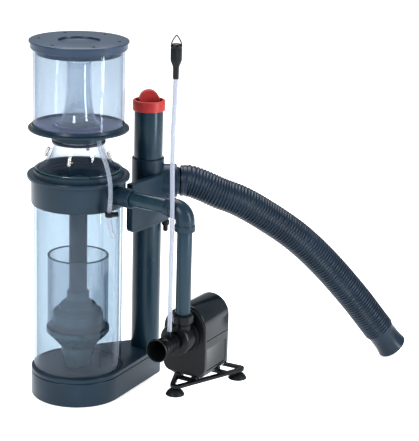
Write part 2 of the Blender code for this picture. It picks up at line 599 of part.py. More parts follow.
# The plate and its cups hang under the motor: points are (U, V) of the pump's frame
def build_feet():
    corner = 9
    spots = [(4, 11.5), (101, -30), (98.5, 47)]
    outline = (arc(4, 9, corner, 150, 270, 4) + arc(101, -30, corner, 250, 350, 4) + [(109, 0)]
               + arc(99, 48, corner, 0, 130, 4))
    plate = prism("pump_foot_plate", outline, FOOT_Z + 2, FOOT_Z + 6, "black", pump_place)
    pad_low, pad_high = (22, -SHAFT_V - 20, FOOT_Z + 3), (84, -SHAFT_V + 20, MOTOR_LOW - GAP)
    pad = box("foot_pad", pad_low, pad_high, None, pump_place)
    boolean(plate, pad, "UNION")
    for index, (along, across) in enumerate(spots, 1):
        turned(f"suction_cup_{index}", [
            (0, FOOT_Z + 2 - GAP), (4, FOOT_Z + 2 - GAP), (4.4, FOOT_Z - 1), (8, FOOT_Z - 3),
            (CUP_FOOT_R, FOOT_Z - 8.5), (CUP_FOOT_R, FOOT_Z - 9.5), (8, FOOT_Z - 6.5), (0, FOOT_Z - 5)], "rubber",
            pump_place @ move(along, across, 0))


# ---------------------------------------------------------------- free hoses and what they carry
def build_hoses():
    along_route("outlet_hose", smooth_route(HOSE_ROUTE, 22), HOSE_OD, "hose", 3)
    along_route("drain_tube", smooth_route(DRAIN_ROUTE, 8), DRAIN_OD, "tubing", 2)
    along_route("air_tube", smooth_route(AIR_ROUTE, 14), AIR_OD, "tubing", 2)
    end, before = Vector(HOSE_ROUTE[-1]), Vector(HOSE_ROUTE[-2])
    aim = (end - before).to_track_quat("Z", "Y").to_matrix().to_4x4()
    cuff = END_CUFF
    hose_r = HOSE_OD / 2
    turned("hose_cuff_far", [
        (hose_r, cuff), (hose_r - 1.5, 14), (hose_r + 1, 4), (hose_r - 1, GAP), (hose_r - HOSE_WALL, GAP),
        (hose_r - HOSE_WALL, cuff)], "hose", Matrix.Translation(end * MM) @ aim)
    nipple = Vector(DRAIN_ROUTE[0])
    rod("drain_nipple", 2.6, nipple.z + 1.4, cup_low - GAP, "acrylic", move(nipple.x, nipple.y, 0))
    tube("drain_clip", 5.2, DRAIN_OD / 2 + 0.5, 270, 276, "black", move(-8.9, -76.0, 0))
    low = Vector(AIR_ROUTE[0])
    rod("air_nipple", 2.6, low.z - 5, low.z - GAP, "black", move(low.x, low.y, 0))
    top = move(*AIR_ROUTE[-1])
    turned("silencer_body", [
        (0, 45), (4, 45), (7.2, 44), (7.3, 40), (7.3, 24), (4.4, 17), (3.9, GAP), (0, GAP)], "black", top)
    wire = [(6.6, 0, 46.3), (3.6, 0, 51), (0, 0, 55), (-3.6, 0, 51), (-6.6, 0, 46.3)]
    along_route("silencer_hook", wire, 1.6, "black", 2, True, top @ turn_z(-43))


build_base()
build_column()
build_collar()
build_neck()
build_cup()
build_lid()
build_standpipe()
build_bracket()
build_feed_line()
build_pump()
build_feet()
build_hoses()

for part in PARTS.objects:
    if part.type == "MESH":
        part.data.shade_smooth()
        part.data.set_sharp_from_angle(angle=math.radians(40))
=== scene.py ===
import math

import bmesh
import bpy
from mathutils import Matrix, Vector


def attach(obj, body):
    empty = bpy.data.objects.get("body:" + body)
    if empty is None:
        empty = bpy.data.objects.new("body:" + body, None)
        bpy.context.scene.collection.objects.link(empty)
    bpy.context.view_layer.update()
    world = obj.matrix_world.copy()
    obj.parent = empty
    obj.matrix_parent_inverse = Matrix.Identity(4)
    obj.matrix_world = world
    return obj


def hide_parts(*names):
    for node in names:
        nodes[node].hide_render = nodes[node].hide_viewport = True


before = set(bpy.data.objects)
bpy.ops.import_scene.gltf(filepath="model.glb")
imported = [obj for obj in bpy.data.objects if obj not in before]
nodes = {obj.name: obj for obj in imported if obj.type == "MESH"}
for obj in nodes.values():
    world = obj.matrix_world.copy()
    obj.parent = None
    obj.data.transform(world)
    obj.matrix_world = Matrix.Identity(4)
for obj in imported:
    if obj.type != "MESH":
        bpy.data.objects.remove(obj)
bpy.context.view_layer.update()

mm = 0.001
sameSpot = 1e-6    # points closer than this, in metres, are one
scene = bpy.context.scene

# ---- camera and light ----
print("camera and lights")
camera = {"place": (-1.3438, -1.7021, 0.8928), "heading": -42.9563, "pitch": 16.549, "roll": 1.6, "lens": 144.15}
cameraData = bpy.data.cameras.new("studioCamera")
cameraData.sensor_fit = "HORIZONTAL"
cameraData.sensor_width = 36
cameraData.lens = camera["lens"]
cameraObject = bpy.data.objects.new("studioCamera", cameraData)
scene.collection.objects.link(cameraObject)
cameraTurn = (Matrix.Rotation(math.radians(camera["heading"]), 4, "Z")
              @ Matrix.Rotation(math.radians(90 - camera["pitch"]), 4, "X")
              @ Matrix.Rotation(math.radians(camera["roll"]), 4, "Z"))
cameraObject.matrix_world = Matrix.Translation(camera["place"]) @ cameraTurn
scene.camera = cameraObject

# softboxes: place, what each one points at, size, watts and colour
softboxes = {
    "keyBox": {"place": (-2.3, -0.7, 1.7), "target": (0.05, 0, 0.25), "size": (0.7, 1.5), "power": 40,
               "colour": (1.0, 0.99, 0.97)},
    "stripBox": {"place": (0.75, -1.9, 0.7), "target": (0.1, 0, 0.25), "size": (0.3, 1.7), "power": 30,
                 "colour": (0.93, 0.95, 1.0)},
    "skyBox": {"place": (0.5, 0.9, 2.2), "target": (0.1, 0, 0.1), "size": (1.6, 1.6), "power": 36,
               "colour": (0.97, 0.98, 1.0)},
}
for boxName, boxSetup in softboxes.items():
    lamp = bpy.data.lights.new(boxName, "AREA")
    lamp.shape = "RECTANGLE"
    lamp.size, lamp.size_y = boxSetup["size"]
    lamp.energy = boxSetup["power"]
    lamp.color = boxSetup["colour"]
    lampObject = bpy.data.objects.new(boxName, lamp)
    scene.collection.objects.link(lampObject)
    lampObject.location = boxSetup["place"]
    away = Vector(boxSetup["place"]) - Vector(boxSetup["target"])
    lampObject.rotation_euler = away.to_track_quat("Z", "Y").to_euler()
surroundings = bpy.data.worlds.new("studioRoom")
surroundings.use_nodes = True
surroundings.node_tree.nodes["Background"].inputs["Color"].default_value = (0.95, 0.97, 1.0, 1)
surroundings.node_tree.nodes["Background"].inputs["Strength"].default_value = 0.42
scene.world = surroundings
scene.view_settings.view_transform = "Standard"
scene.view_settings.look = "Medium High Contrast"


# ---- finishes ----
class Wire:
    def __init__(self, tree, socket=None):
        self.tree = tree
        self.socket = socket

    def node(self, kind, settings=None, inputs=None, output=0):
        made = self.tree.nodes.new(kind)
        for key, value in (settings or {}).items():
            if key == "stops":
                stops = made.color_ramp.elements
                while len(stops) < len(value):
                    stops.new(0.5)
                for stop, (place, colour) in zip(stops, value):
                    stop.position = place
                    stop.color = (*colour, 1)
            else:
                setattr(made, key, value)
        for key, value in (inputs or {}).items():
            if isinstance(value, Wire):
                self.tree.links.new(value.socket, made.inputs[key])
            else:
                made.inputs[key].default_value = value
        return Wire(self.tree, made.outputs[output] if made.outputs else None)

    def maths(self, operation, first, second):
        return self.node("ShaderNodeMath", {"operation": operation}, {0: first, 1: second})

    def __add__(self, other):
        return self.maths("ADD", self, other)

    def __radd__(self, other):
        return self.maths("ADD", other, self)

    def __sub__(self, other):
        return self.maths("SUBTRACT", self, other)

    def __rsub__(self, other):
        return self.maths("SUBTRACT", other, self)

    def __mul__(self, other):
        return self.maths("MULTIPLY", self, other)

    def __rmul__(self, other):
        return self.maths("MULTIPLY", other, self)

    def __pow__(self, power):
        return self.maths("POWER", self, power)


def newFinish(name):
    finish = bpy.data.materials.new(name)
    finish.use_nodes = True
    finish.node_tree.nodes.clear()
    return finish, Wire(finish.node_tree)


def showSurface(maker, surface):
    maker.node("ShaderNodeOutputMaterial", None, {"Surface": surface})


# noise on the object's own coordinates, stretched by its scale along X, Y and Z
def speckle(maker, scale, detail=4.0, stretch=(1, 1, 1)):
    spot = maker.node("ShaderNodeTexCoord", None, None, "Object")
    spot = maker.node("ShaderNodeMapping", None, {"Vector": spot, "Scale": stretch})
    return maker.node("ShaderNodeTexNoise", None, {"Vector": spot, "Scale": scale, "Detail": detail}, "Fac")


# a moulded or extruded plastic: cloudy colour, uneven gloss, fine grain and a few rubbed marks
def plasticFinish(name, look):
    finish, maker = newFinish(name)
    cloud = speckle(maker, look["cloudScale"], 3.0, look.get("stretch", (1, 1, 1)))
    grain = speckle(maker, look["grainScale"], 2.0, look.get("stretch", (1, 1, 1)))
    rubbed = speckle(maker, look.get("rubScale", 60), 5.0, (1, 1, 0.35))
    marks = maker.node("ShaderNodeMapRange", None,
                       {"Value": rubbed, "From Min": 0.6, "From Max": 0.78, "To Min": 0.0, "To Max": 1.0})
    colour = maker.node("ShaderNodeValToRGB", {"stops": [(0.3, look["dark"]), (0.7, look["light"])]}, {"Fac": cloud})
    colour = maker.node("ShaderNodeMix", {"data_type": "RGBA"},
                        {0: marks * look.get("rubShare", 0.12), 6: colour, 7: (*look["rubbed"], 1)}, 2)
    gloss = look["roughness"] + (cloud - 0.5) * look["glossSpread"] + marks * 0.1
    relief = maker.node("ShaderNodeBump", None,
                        {"Height": grain, "Strength": look["grainDepth"], "Distance": 0.0004}, "Normal")
    surface = maker.node("ShaderNodeBsdfPrincipled", None,
                         {"Base Color": colour, "Roughness": gloss, "Normal": relief,
                          "Specular IOR Level": look.get("shine", 0.5), "Coat Weight": look.get("coat", 0.0),
                          "Coat Roughness": look.get("coatRoughness", 0.15)})
    showSurface(maker, surface)
    return finish


# clear wall: what is behind shows through a faint tint, and the surface mirrors more where it is seen edge on
def clearFinish(name, look):
    finish, maker = newFinish(name)
    haze = speckle(maker, look["hazeScale"], 3.0, look["stretch"])
    mirror = maker.node("ShaderNodeBsdfPrincipled", None,
                        {"Base Color": (*look["tint"], 1), "Roughness": look["roughness"] + haze * look["hazeSpread"],
                         "Metallic": 1.0})
    film = maker.node("ShaderNodeBsdfPrincipled", None,
                      {"Base Color": (*look["film"], 1), "Roughness": 0.5 + haze * 0.1, "Specular IOR Level": 0.0})
    through = maker.node("ShaderNodeBsdfTransparent", None, {"Color": (*look["shade"], 1)})
    edge = maker.node("ShaderNodeLayerWeight", None, {"Blend": 0.5}, "Facing")
    cover = look["cover"] + haze * look["coverSpread"] + edge ** 4 * look["edgeCover"]
    wall = maker.node("ShaderNodeMixShader", None, {0: cover, 1: through, 2: film})
    gleam = look["gleam"] + edge ** 5 * look["edgeGleam"]
    surface = maker.node("ShaderNodeMixShader", None, {0: gleam, 1: wall, 2: mirror})
    showSurface(maker, surface)
    return finish


# translucent plastic: more solid where it is seen edge on
def milkyFinish(name, look):
    finish, maker = newFinish(name)
    cloud = speckle(maker, look["cloudScale"], 3.0, look.get("stretch", (1, 1, 1)))
    colour = maker.node("ShaderNodeValToRGB", {"stops": [(0.3, look["dark"]), (0.7, look["light"])]}, {"Fac": cloud})
    edge = maker.node("ShaderNodeLayerWeight", None, {"Blend": 0.5}, "Facing")
    cover = look["cover"] + edge ** 2 * look["edgeCover"]
    surface = maker.node("ShaderNodeBsdfPrincipled", None,
                         {"Base Color": colour, "Roughness": look["roughness"] + cloud * 0.08, "Alpha": cover})
    showSurface(maker, surface)
    return finish


print("finishes")
finishLooks = {
    "pvcGrey": {"dark": (0.011, 0.027, 0.043), "light": (0.016, 0.035, 0.055), "rubbed": (0.05, 0.08, 0.12),
                "roughness": 0.3, "glossSpread": 0.12, "cloudScale": 18, "grainScale": 900, "grainDepth": 0.05,
                "rubShare": 0.08, "shine": 0.27},
    "pipeGrey": {"dark": (0.011, 0.032, 0.048), "light": (0.016, 0.042, 0.062), "rubbed": (0.05, 0.09, 0.12),
                 "roughness": 0.24, "glossSpread": 0.14, "cloudScale": 90, "grainScale": 1100, "grainDepth": 0.04,
                 "rubShare": 0.08, "stretch": (1, 1, 0.06), "shine": 0.3},
    "lidGrey": {"dark": (0.020, 0.042, 0.078), "light": (0.026, 0.052, 0.092), "rubbed": (0.08, 0.11, 0.16),
                "roughness": 0.34, "glossSpread": 0.10, "cloudScale": 26, "grainScale": 1200, "grainDepth": 0.08,
                "rubShare": 0.10, "shine": 0.4},
    "redPlastic": {"dark": (0.36, 0.030, 0.030), "light": (0.45, 0.050, 0.045), "rubbed": (0.60, 0.20, 0.17),
                   "roughness": 0.4, "glossSpread": 0.12, "cloudScale": 60, "grainScale": 1400, "grainDepth": 0.12,
                   "rubShare": 0.15, "shine": 0.3},
    "blackPlastic": {"dark": (0.003, 0.005, 0.006), "light": (0.006, 0.008, 0.010), "rubbed": (0.04, 0.05, 0.06),
                     "roughness": 0.3, "glossSpread": 0.14, "cloudScale": 50, "grainScale": 1500,
                     "grainDepth": 0.08, "rubShare": 0.10, "shine": 0.25},
    "pumpPlastic": {"dark": (0.005, 0.010, 0.014), "light": (0.008, 0.014, 0.019), "rubbed": (0.04, 0.06, 0.08),
                    "roughness": 0.16, "glossSpread": 0.08, "cloudScale": 40, "grainScale": 1500,
                    "grainDepth": 0.03, "rubShare": 0.08, "shine": 0.4},
    "cupRubber": {"dark": (0.004, 0.006, 0.007), "light": (0.008, 0.011, 0.012), "rubbed": (0.04, 0.05, 0.05),
                  "roughness": 0.5, "glossSpread": 0.15, "cloudScale": 70, "grainScale": 1800,
                  "grainDepth": 0.15, "rubShare": 0.12, "shine": 0.25},
    "hosePlastic": {"dark": (0.009, 0.019, 0.033), "light": (0.013, 0.026, 0.044), "rubbed": (0.04, 0.06, 0.10),
                    "roughness": 0.3, "glossSpread": 0.14, "cloudScale": 30, "grainScale": 1300,
                    "grainDepth": 0.06, "rubShare": 0.10, "shine": 0.3},
    "shaftSteel": {"dark": (0.42, 0.42, 0.44), "light": (0.55, 0.55, 0.57), "rubbed": (0.65, 0.65, 0.66),
                   "roughness": 0.3, "glossSpread": 0.2, "cloudScale": 120, "grainScale": 1600,
                   "grainDepth": 0.1, "shine": 0.8},
    "ferriteDark": {"dark": (0.03, 0.03, 0.032), "light": (0.045, 0.045, 0.047), "rubbed": (0.1, 0.1, 0.1),
                    "roughness": 0.5, "glossSpread": 0.2, "cloudScale": 120, "grainScale": 1600,
                    "grainDepth": 0.3},
}
finishes = {name: plasticFinish(name, look) for name, look in finishLooks.items()}
clearLooks = {
    "cupAcrylic": {"shade": (0.825, 0.866, 0.90), "edgeCover": 0.45},
    "columnAcrylic": {"shade": (0.775, 0.828, 0.863), "edgeCover": 0.5},
    "chamberAcrylic": {"shade": (0.955, 0.965, 0.98), "edgeCover": 0.85},
    "coneAcrylic": {"shade": (0.93, 0.95, 0.975), "edgeCover": 0.5},
}
for name, look in clearLooks.items():
    finishes[name] = clearFinish(name, {
        "tint": (0.86, 0.90, 0.98), "film": (0.06, 0.09, 0.14), "roughness": 0.02, "hazeScale": 60, "hazeSpread": 0.03,
        "stretch": (1, 1, 0.03), "cover": 0.0, "coverSpread": 0.10, "gleam": 0.035, "edgeGleam": 0.45, **look})
finishes["lugAcrylic"] = clearFinish("lugAcrylic", {
    "tint": (0.95, 0.93, 0.88), "film": (0.30, 0.28, 0.24), "shade": (0.8, 0.8, 0.8), "roughness": 0.05,
    "hazeScale": 90, "hazeSpread": 0.06, "stretch": (1, 1, 1), "cover": 0.3, "coverSpread": 0.10, "edgeCover": 0.6,
    "gleam": 0.3, "edgeGleam": 0.5})
finishes["riserAcrylic"] = clearFinish("riserAcrylic", {
    "tint": (0.95, 0.97, 1.0), "film": (0.62, 0.68, 0.78), "shade": (0.95, 0.965, 0.985), "roughness": 0.04,
    "hazeScale": 90, "hazeSpread": 0.06, "stretch": (1, 1, 0.06), "cover": 0.02, "coverSpread": 0.16,
    "edgeCover": 0.6, "gleam": 0.12, "edgeGleam": 0.8})
finishes["floorAcrylic"] = milkyFinish("floorAcrylic", {
    "dark": (0.19, 0.21, 0.33), "light": (0.25, 0.27, 0.40), "cloudScale": 30, "cover": 0.62,
    "edgeCover": 0.3, "roughness": 0.12})
finishes["frostedPlastic"] = milkyFinish("frostedPlastic", {
    "dark": (0.024, 0.082, 0.092), "light": (0.044, 0.115, 0.130), "cloudScale": 35, "cover": 0.86,
    "edgeCover": 0.14, "roughness": 0.12})
finishes["airTubing"] = milkyFinish("airTubing", {
    "dark": (0.30, 0.33, 0.41), "light": (0.38, 0.42, 0.50), "cloudScale": 80, "cover": 0.72,
    "edgeCover": 0.28, "roughness": 0.2, "stretch": (1, 1, 0.1)})
finishes["drainTubing"] = milkyFinish("drainTubing", {
    "dark": (0.36, 0.41, 0.50), "light": (0.46, 0.51, 0.60), "cloudScale": 80, "cover": 0.35,
    "edgeCover": 0.5, "roughness": 0.12, "stretch": (1, 1, 0.1)})


# ---- modelling helpers ----
def clearSelection():
    if bpy.context.object and bpy.context.object.mode == "EDIT":
        bpy.ops.object.mode_set(mode="OBJECT")
    bpy.ops.object.select_all(action="DESELECT")


def openEdit(piece):
    clearSelection()
    bpy.context.view_layer.objects.active = piece
    piece.select_set(True)
    bpy.ops.object.mode_set(mode="EDIT")
    bpy.ops.mesh.select_all(action="DESELECT")


def closeEdit():
    bpy.ops.object.mode_set(mode="OBJECT")


def applyAll(piece):
    clearSelection()
    bpy.context.view_layer.objects.active = piece
    piece.select_set(True)
    for modifier in list(piece.modifiers):
        bpy.ops.object.modifier_apply(modifier=modifier.name)


# a turned piece from a circle, extruded and resized ring by ring along its profile (radius, height) in metres;
# it closes on itself, or at flat ends when solid
def turned(profile, sides=96, solid=False):
    clearSelection()
    radius, height = profile[0]
    bpy.ops.mesh.primitive_circle_add(vertices=sides, radius=radius, location=(0, 0, height))
    piece = bpy.context.object
    bpy.ops.object.transform_apply(location=True)
    openEdit(piece)
    bpy.ops.mesh.select_all(action="SELECT")
    ahead = profile[1:] if solid else profile[1:] + profile[:1]
    for (wide, low), (nextWide, nextLow) in zip(profile, ahead):
        bpy.ops.mesh.extrude_region_move(TRANSFORM_OT_translate={"value": (0, 0, nextLow - low)})
        grow = nextWide / wide
        bpy.ops.transform.resize(value=(grow, grow, 1), center_override=(0, 0, nextLow))
    if solid:
        bpy.ops.mesh.select_all(action="DESELECT")
        bpy.ops.mesh.select_non_manifold()
        bpy.ops.mesh.fill_holes(sides=0)
    bpy.ops.mesh.select_all(action="SELECT")
    if not solid:
        bpy.ops.mesh.remove_doubles(threshold=sameSpot)
    bpy.ops.mesh.normals_make_consistent(inside=False)
    closeEdit()
    return piece


def scaled(profile):
    return [(radius * mm, height * mm) for radius, height in profile]


def rod(radius, low, high, sides=64):
    clearSelection()
    bpy.ops.mesh.primitive_cylinder_add(vertices=sides, radius=radius, depth=high - low,
                                        location=(0, 0, (low + high) / 2))
    piece = bpy.context.object
    bpy.ops.object.transform_apply(location=True)
    return piece


def block(low, high):
    clearSelection()
    size = Vector(high) - Vector(low)
    bpy.ops.mesh.primitive_cube_add(size=1, location=(Vector(high) + Vector(low)) / 2)
    piece = bpy.context.object
    piece.scale = size
    bpy.ops.object.transform_apply(location=True, scale=True)
    return piece


def placed(piece, place):
    clearSelection()
    piece.select_set(True)
    bpy.context.view_layer.objects.active = piece
    piece.matrix_world = place @ piece.matrix_world
    bpy.ops.object.transform_apply(location=True, rotation=True, scale=True)
    return piece


def carve(piece, tool, operation="DIFFERENCE"):
    cut = piece.modifiers.new("carve", "BOOLEAN")
    cut.operation = operation
    cut.object = tool
    cut.solver = "EXACT"
    applyAll(piece)
    bpy.data.objects.remove(tool)
    return piece


def roundEdges(piece, width, segments=3, sharpest=30):
    edges = piece.modifiers.new("roundedEdges", "BEVEL")
    edges.width = width
    edges.segments = segments
    edges.limit_method = "ANGLE"
    edges.angle_limit = math.radians(sharpest)
    edges.harden_normals = False
    applyAll(piece)
    return piece


def hullOf(pieces):
    clearSelection()
    for piece in pieces:
        piece.select_set(True)
    bpy.context.view_layer.objects.active = pieces[0]
    bpy.ops.object.join()
    openEdit(pieces[0])
    bpy.ops.mesh.select_all(action="SELECT")
    bpy.ops.mesh.convex_hull()
    bpy.ops.mesh.select_all(action="SELECT")
    bpy.ops.mesh.dissolve_limited(angle_limit=math.radians(0.4))
    closeEdit()
    return pieces[0]


# a finished piece: named, smoothed, given its finish, and riding on its body in place of its CAD nodes
def finishPiece(piece, name, body, finish, *replaced):
    clearSelection()
    piece.select_set(True)
    bpy.context.view_layer.objects.active = piece
    if piece.type == "MESH":
        bpy.ops.object.shade_smooth_by_angle(angle=math.radians(32))
    piece.name = name
    piece.data.name = name
    piece.data.materials.clear()
    piece.data.materials.append(finishes[finish])
    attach(piece, body)
    if replaced:
        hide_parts(*replaced)
    return piece


def shift(x=0.0, y=0.0, z=0.0):
    return Matrix.Translation((x, y, z))


def spinZ(degrees):
    return Matrix.Rotation(math.radians(degrees), 4, "Z")


layOut = Matrix.Rotation(math.radians(90), 4, "Y")   # stands a turned piece's axis along +X


# ---- cords: the hose and the two tubes ----
print("hoses")


def smoothRoute(route, step):
    knots = [Vector(point) * mm for point in route]
    knots = [2 * knots[0] - knots[1]] + knots + [2 * knots[-1] - knots[-2]]
    fine = []
    for index in range(1, len(knots) - 2):
        before, here, there, beyond = knots[index - 1:index + 3]
        count = max(2, round((there - here).length / step))
        for part in range(count):
            share = part / count
            fine.append(0.5 * (2 * here + (there - before) * share
                               + (2 * before - 5 * here + 4 * there - beyond) * share ** 2
                               + (3 * here - before - 3 * there + beyond) * share ** 3))
    fine.append(knots[-2])
    return fine


def routeLength(points):
    return sum((after - point).length for point, after in zip(points, points[1:]))


# the same line with its points an even step apart
def evenPoints(points, step):
    length = routeLength(points)
    count = round(length / step)
    spots, walked, index = [points[0].copy()], 0.0, 0
    for number in range(1, count):
        goal = length * number / count
        while walked + (points[index + 1] - points[index]).length < goal:
            walked += (points[index + 1] - points[index]).length
            index += 1
        leg = points[index + 1] - points[index]
        spots.append(points[index] + leg * ((goal - walked) / leg.length))
    spots.append(points[-1].copy())
    return spots


# rings carried along a route without twisting; radiusAt gives the outside at a distance along it
def sweptTube(name, points, radiusAt, sides, wall):
    mesh = bpy.data.meshes.new(name)
    build = bmesh.new()
    heading = (points[1] - points[0]).normalized()
    side = heading.cross(Vector((0, 0, 1))).normalized()
    rings, walked = [], 0.0
    frames = []
    for index, point in enumerate(points):
        ahead = points[min(index + 1, len(points) - 1)] - points[max(index - 1, 0)]
        turn = heading.rotation_difference(ahead.normalized())
        heading = ahead.normalized()
        side = (turn @ side).normalized()
        if index:
            walked += (point - points[index - 1]).length
        frames.append((point, side.copy(), heading.cross(side).normalized(), walked))
    for outside, run in ((True, frames), (False, frames[::-1])):
        for point, across, over, distance in run:
            radius = radiusAt(distance) - (0 if outside else wall)
            rings.append([build.verts.new(point + radius * (math.cos(angle) * across + math.sin(angle) * over))
                          for angle in (2 * math.pi * number / sides for number in range(sides))])
    for ring, after in zip(rings, rings[1:] + rings[:1]):
        for number in range(sides):
            along = (number + 1) % sides
            build.faces.new((ring[number], after[number], after[along], ring[along]))
    bmesh.ops.recalc_face_normals(build, faces=build.faces)
    build.to_mesh(mesh)
    build.free()
    piece = bpy.data.objects.new(name, mesh)
    scene.collection.objects.link(piece)
    return piece


hose = {
    "route": [(158.2, -26.3, 281), (169, -34.3, 280.2), (184, -46, 273.5), (202, -60, 263), (229, -78.5, 249.5),
              (266, -99, 223.5), (303.5, -120, 192), (342.2, -140.1, 150.1), (383.5, -159.3, 98.4),
              (411.2, -171.1, 60.6)],
    "ribbedPast": 21,      # how far the hose runs on past its last point, to the end cuff
    "cuffStart": 7,        # smooth length at the tee
    "cuffSink": 0.8,       # how far the smooth length lies below the ribs
    "radius": 22.5,
    "ribPitch": 4.4,
    "ribDepth": 1.5,
    "wall": 2.6,
    "sides": 48,
    "diameter": 44,        # its nominal size, between its crowns and its grooves
}
hoseLine = smoothRoute(hose["route"], 2 * mm)
hoseEnd = (hoseLine[-1] - hoseLine[-2]).normalized()
hoseLine.append(hoseLine[-1] + hoseEnd * hose["ribbedPast"] * mm)
hoseLine = evenPoints(hoseLine, 0.52 * mm)
hoseLength = routeLength(hoseLine)


def hoseRadius(distance):
    along = distance / mm
    ribs = 0.5 - 0.5 * math.cos(2 * math.pi * along / hose["ribPitch"])
    ribs = ribs ** 0.6                                    # broad crowns, narrow grooves
    blend = min(1, max(0, along - hose["cuffStart"]) / 4)
    return (hose["radius"] - hose["cuffSink"] * (1 - blend) - hose["ribDepth"] * max(blend, 0.35) * (1 - ribs)) * mm


ribbedHose = sweptTube("ribbedHose", hoseLine, hoseRadius, hose["sides"], hose["wall"] * mm)

endCuff = {"profile": [(21.2, 0), (21.5, 1.5), (20.9, 4), (20.3, 8), (20.5, 22), (21.2, 31), (22.0, 35), (22.2, 36.8),
                       (21.8, 37.6), (20.8, 37.7), (20.2, 36.6), (19.2, 33), (18.6, 22), (18.5, 8), (18.4, 0)],
           "overlap": 1.2}
cuffStand = hoseEnd.to_track_quat("Z", "Y").to_matrix().to_4x4()
hoseCuffEnd = turned(scaled(endCuff["profile"]), 72)
placed(hoseCuffEnd, Matrix.Translation(hoseLine[-1]) @ cuffStand @ shift(0, 0, -endCuff["overlap"] * mm))
finishPiece(hoseCuffEnd, "hoseCuffEnd", "skimmer", "hosePlastic", "hose_cuff_far")
finishPiece(ribbedHose, "ribbedHose", "skimmer", "hosePlastic", "outlet_hose")
[tuple(point) for point in hoseLine[::8] + hoseLine[-1:]]


def tubeCurve(name, line, thickness, finish, node, body):
    curve = bpy.data.curves.new(name, "CURVE")
    curve.dimensions = "3D"
    curve.bevel_depth = thickness / 2
    curve.bevel_resolution = 6
    curve.use_fill_caps = True
    spline = curve.splines.new("POLY")
    spline.points.add(len(line) - 1)
    for spot, point in zip(spline.points, line):
        spot.co = (*point, 1)
    tube = bpy.data.objects.new(name, curve)
    scene.collection.objects.link(tube)
    return finishPiece(tube, name, body, finish, node)


drain = {
    "route": [(-6, -50, 366), (-7.5, -54.5, 357), (-9, -64, 347), (-9.3, -72, 334), (-8, -76, 316),
              (-7.5, -76.5, 297), (-8.8, -76.5, 280), (-9, -75.5, 268), (-6.5, -76.2, 254), (-2, -78.5, 240)],
    "thickness": 6,
}
air = {
    "route": [(16, -171.5, 133), (17.5, -170, 160), (19.5, -167.5, 200), (22, -165, 245), (23.6, -163.4, 290),
              (24.2, -161, 348), (25, -160, 390), (26.8, -159.8, 432), (28, -159.6, 463)],
    "thickness": 6,
}
drainLine = smoothRoute(drain["route"], 3 * mm)
drainTube = tubeCurve("drainTube", drainLine, drain["thickness"] * mm, "drainTubing", "drain_tube", "cup")
airLine = smoothRoute(air["route"], 5 * mm)
airTube = tubeCurve("airTube", airLine, air["thickness"] * mm, "airTubing", "air_tube", "skimmer")

# the silencer on the air tube's top end, with its hanging loop
silencerPlace = Matrix.Translation(airLine[-1])
silencerLook = {
    "profile": [(3.8, 0.3), (3.9, 14), (4.5, 17), (5.6, 19.5), (7.0, 23.5), (7.3, 25), (7.3, 39), (6.9, 40), (7.4, 41),
                (7.4, 43), (6.6, 44.3), (4.4, 45)],
    "sides": 72, "ribsFrom": 24.5, "ribsTo": 39.5, "ribShrink": 0.93,
}
silencer = turned(scaled(silencerLook["profile"]), silencerLook["sides"], True)
openEdit(silencer)
shape = bmesh.from_edit_mesh(silencer.data)
for vertex in shape.verts:                      # fine upright ribs round the body
    high = vertex.co.z / mm
    if silencerLook["ribsFrom"] < high < silencerLook["ribsTo"]:
        turnNumber = round(math.atan2(vertex.co.y, vertex.co.x) / (2 * math.pi / silencerLook["sides"]))
        vertex.select = turnNumber % 2 == 0
bmesh.update_edit_mesh(silencer.data)
shrink = silencerLook["ribShrink"]
bpy.ops.transform.resize(value=(shrink, shrink, 1), center_override=(0, 0, 0))
closeEdit()
roundEdges(silencer, 0.25 * mm, 2, 40)
placed(silencer, silencerPlace)
finishPiece(silencer, "silencerBody", "skimmer", "blackPlastic", "silencer_body")

hookLine = [Vector(point) * mm for point in [(6.2, 0, 44.2), (5.6, 0, 47), (3.2, 0, 51.5), (1.1, 0, 54.6), (0, 0, 55.2),
                                             (-1.1, 0, 54.6), (-3.2, 0, 51.5), (-5.6, 0, 47), (-6.2, 0, 44.2)]]
hookTurn = silencerPlace @ spinZ(-43)
hookLine = smoothRoute([(hookTurn @ point) / mm for point in hookLine], 1 * mm)
silencerHook = sweptTube("silencerLoop", hookLine, lambda distance: 0.8 * mm, 10, 0.79 * mm)
finishPiece(silencerHook, "silencerLoop", "skimmer", "blackPlastic", "silencer_hook")

# drain nipple and pinch clip
clipProfile = [(5.0, -3), (5.4, -2), (5.4, 2), (5.0, 3), (3.2, 3), (3.1, -3)]
drainClip = turned(scaled(clipProfile), 40)
clipTail = block((-3.4 * mm, -12 * mm, -2.4 * mm), (3.4 * mm, -3.6 * mm, 2.4 * mm))
nipple = {"along": -6, "across": -50, "radius": 2.6, "low": 366.5, "high": 373}
drainNipple = placed(rod(nipple["radius"] * mm, nipple["low"] * mm, nipple["high"] * mm, 32),
                     shift(nipple["along"] * mm, nipple["across"] * mm))
finishPiece(drainNipple, "drainNipple", "cup", "frostedPlastic", "drain_nipple")
carve(drainClip, clipTail, "UNION")
roundEdges(drainClip, 0.4 * mm, 2)
placed(drainClip, Matrix.Translation((-8.9 * mm, -76 * mm, 273 * mm)) @ spinZ(60))
finishPiece(drainClip, "drainClip", "cup", "blackPlastic", "drain_clip")


# ---- base ----
print("base and column")


def spinPiece(spec, place=Matrix(), sides=96):
    piece = turned(scaled(spec["profile"]), spec.get("sides", sides), spec.get("solid", False))
    if spec.get("edge"):
        roundEdges(piece, spec["edge"] * mm, spec.get("edgeSteps", 3), spec.get("edgeAngle", 30))
    return placed(piece, place)


# a rounded plate round two upright cylinders, narrowing from the large one to the small one
def teardropPlate(spec, grow, low, high):
    large = rod((spec["large"] + grow) * mm, low * mm, high * mm, 128)
    small = placed(rod((spec["small"] + grow) * mm, low * mm, high * mm, 64), shift(spec["apart"] * mm))
    return hullOf([large, small])


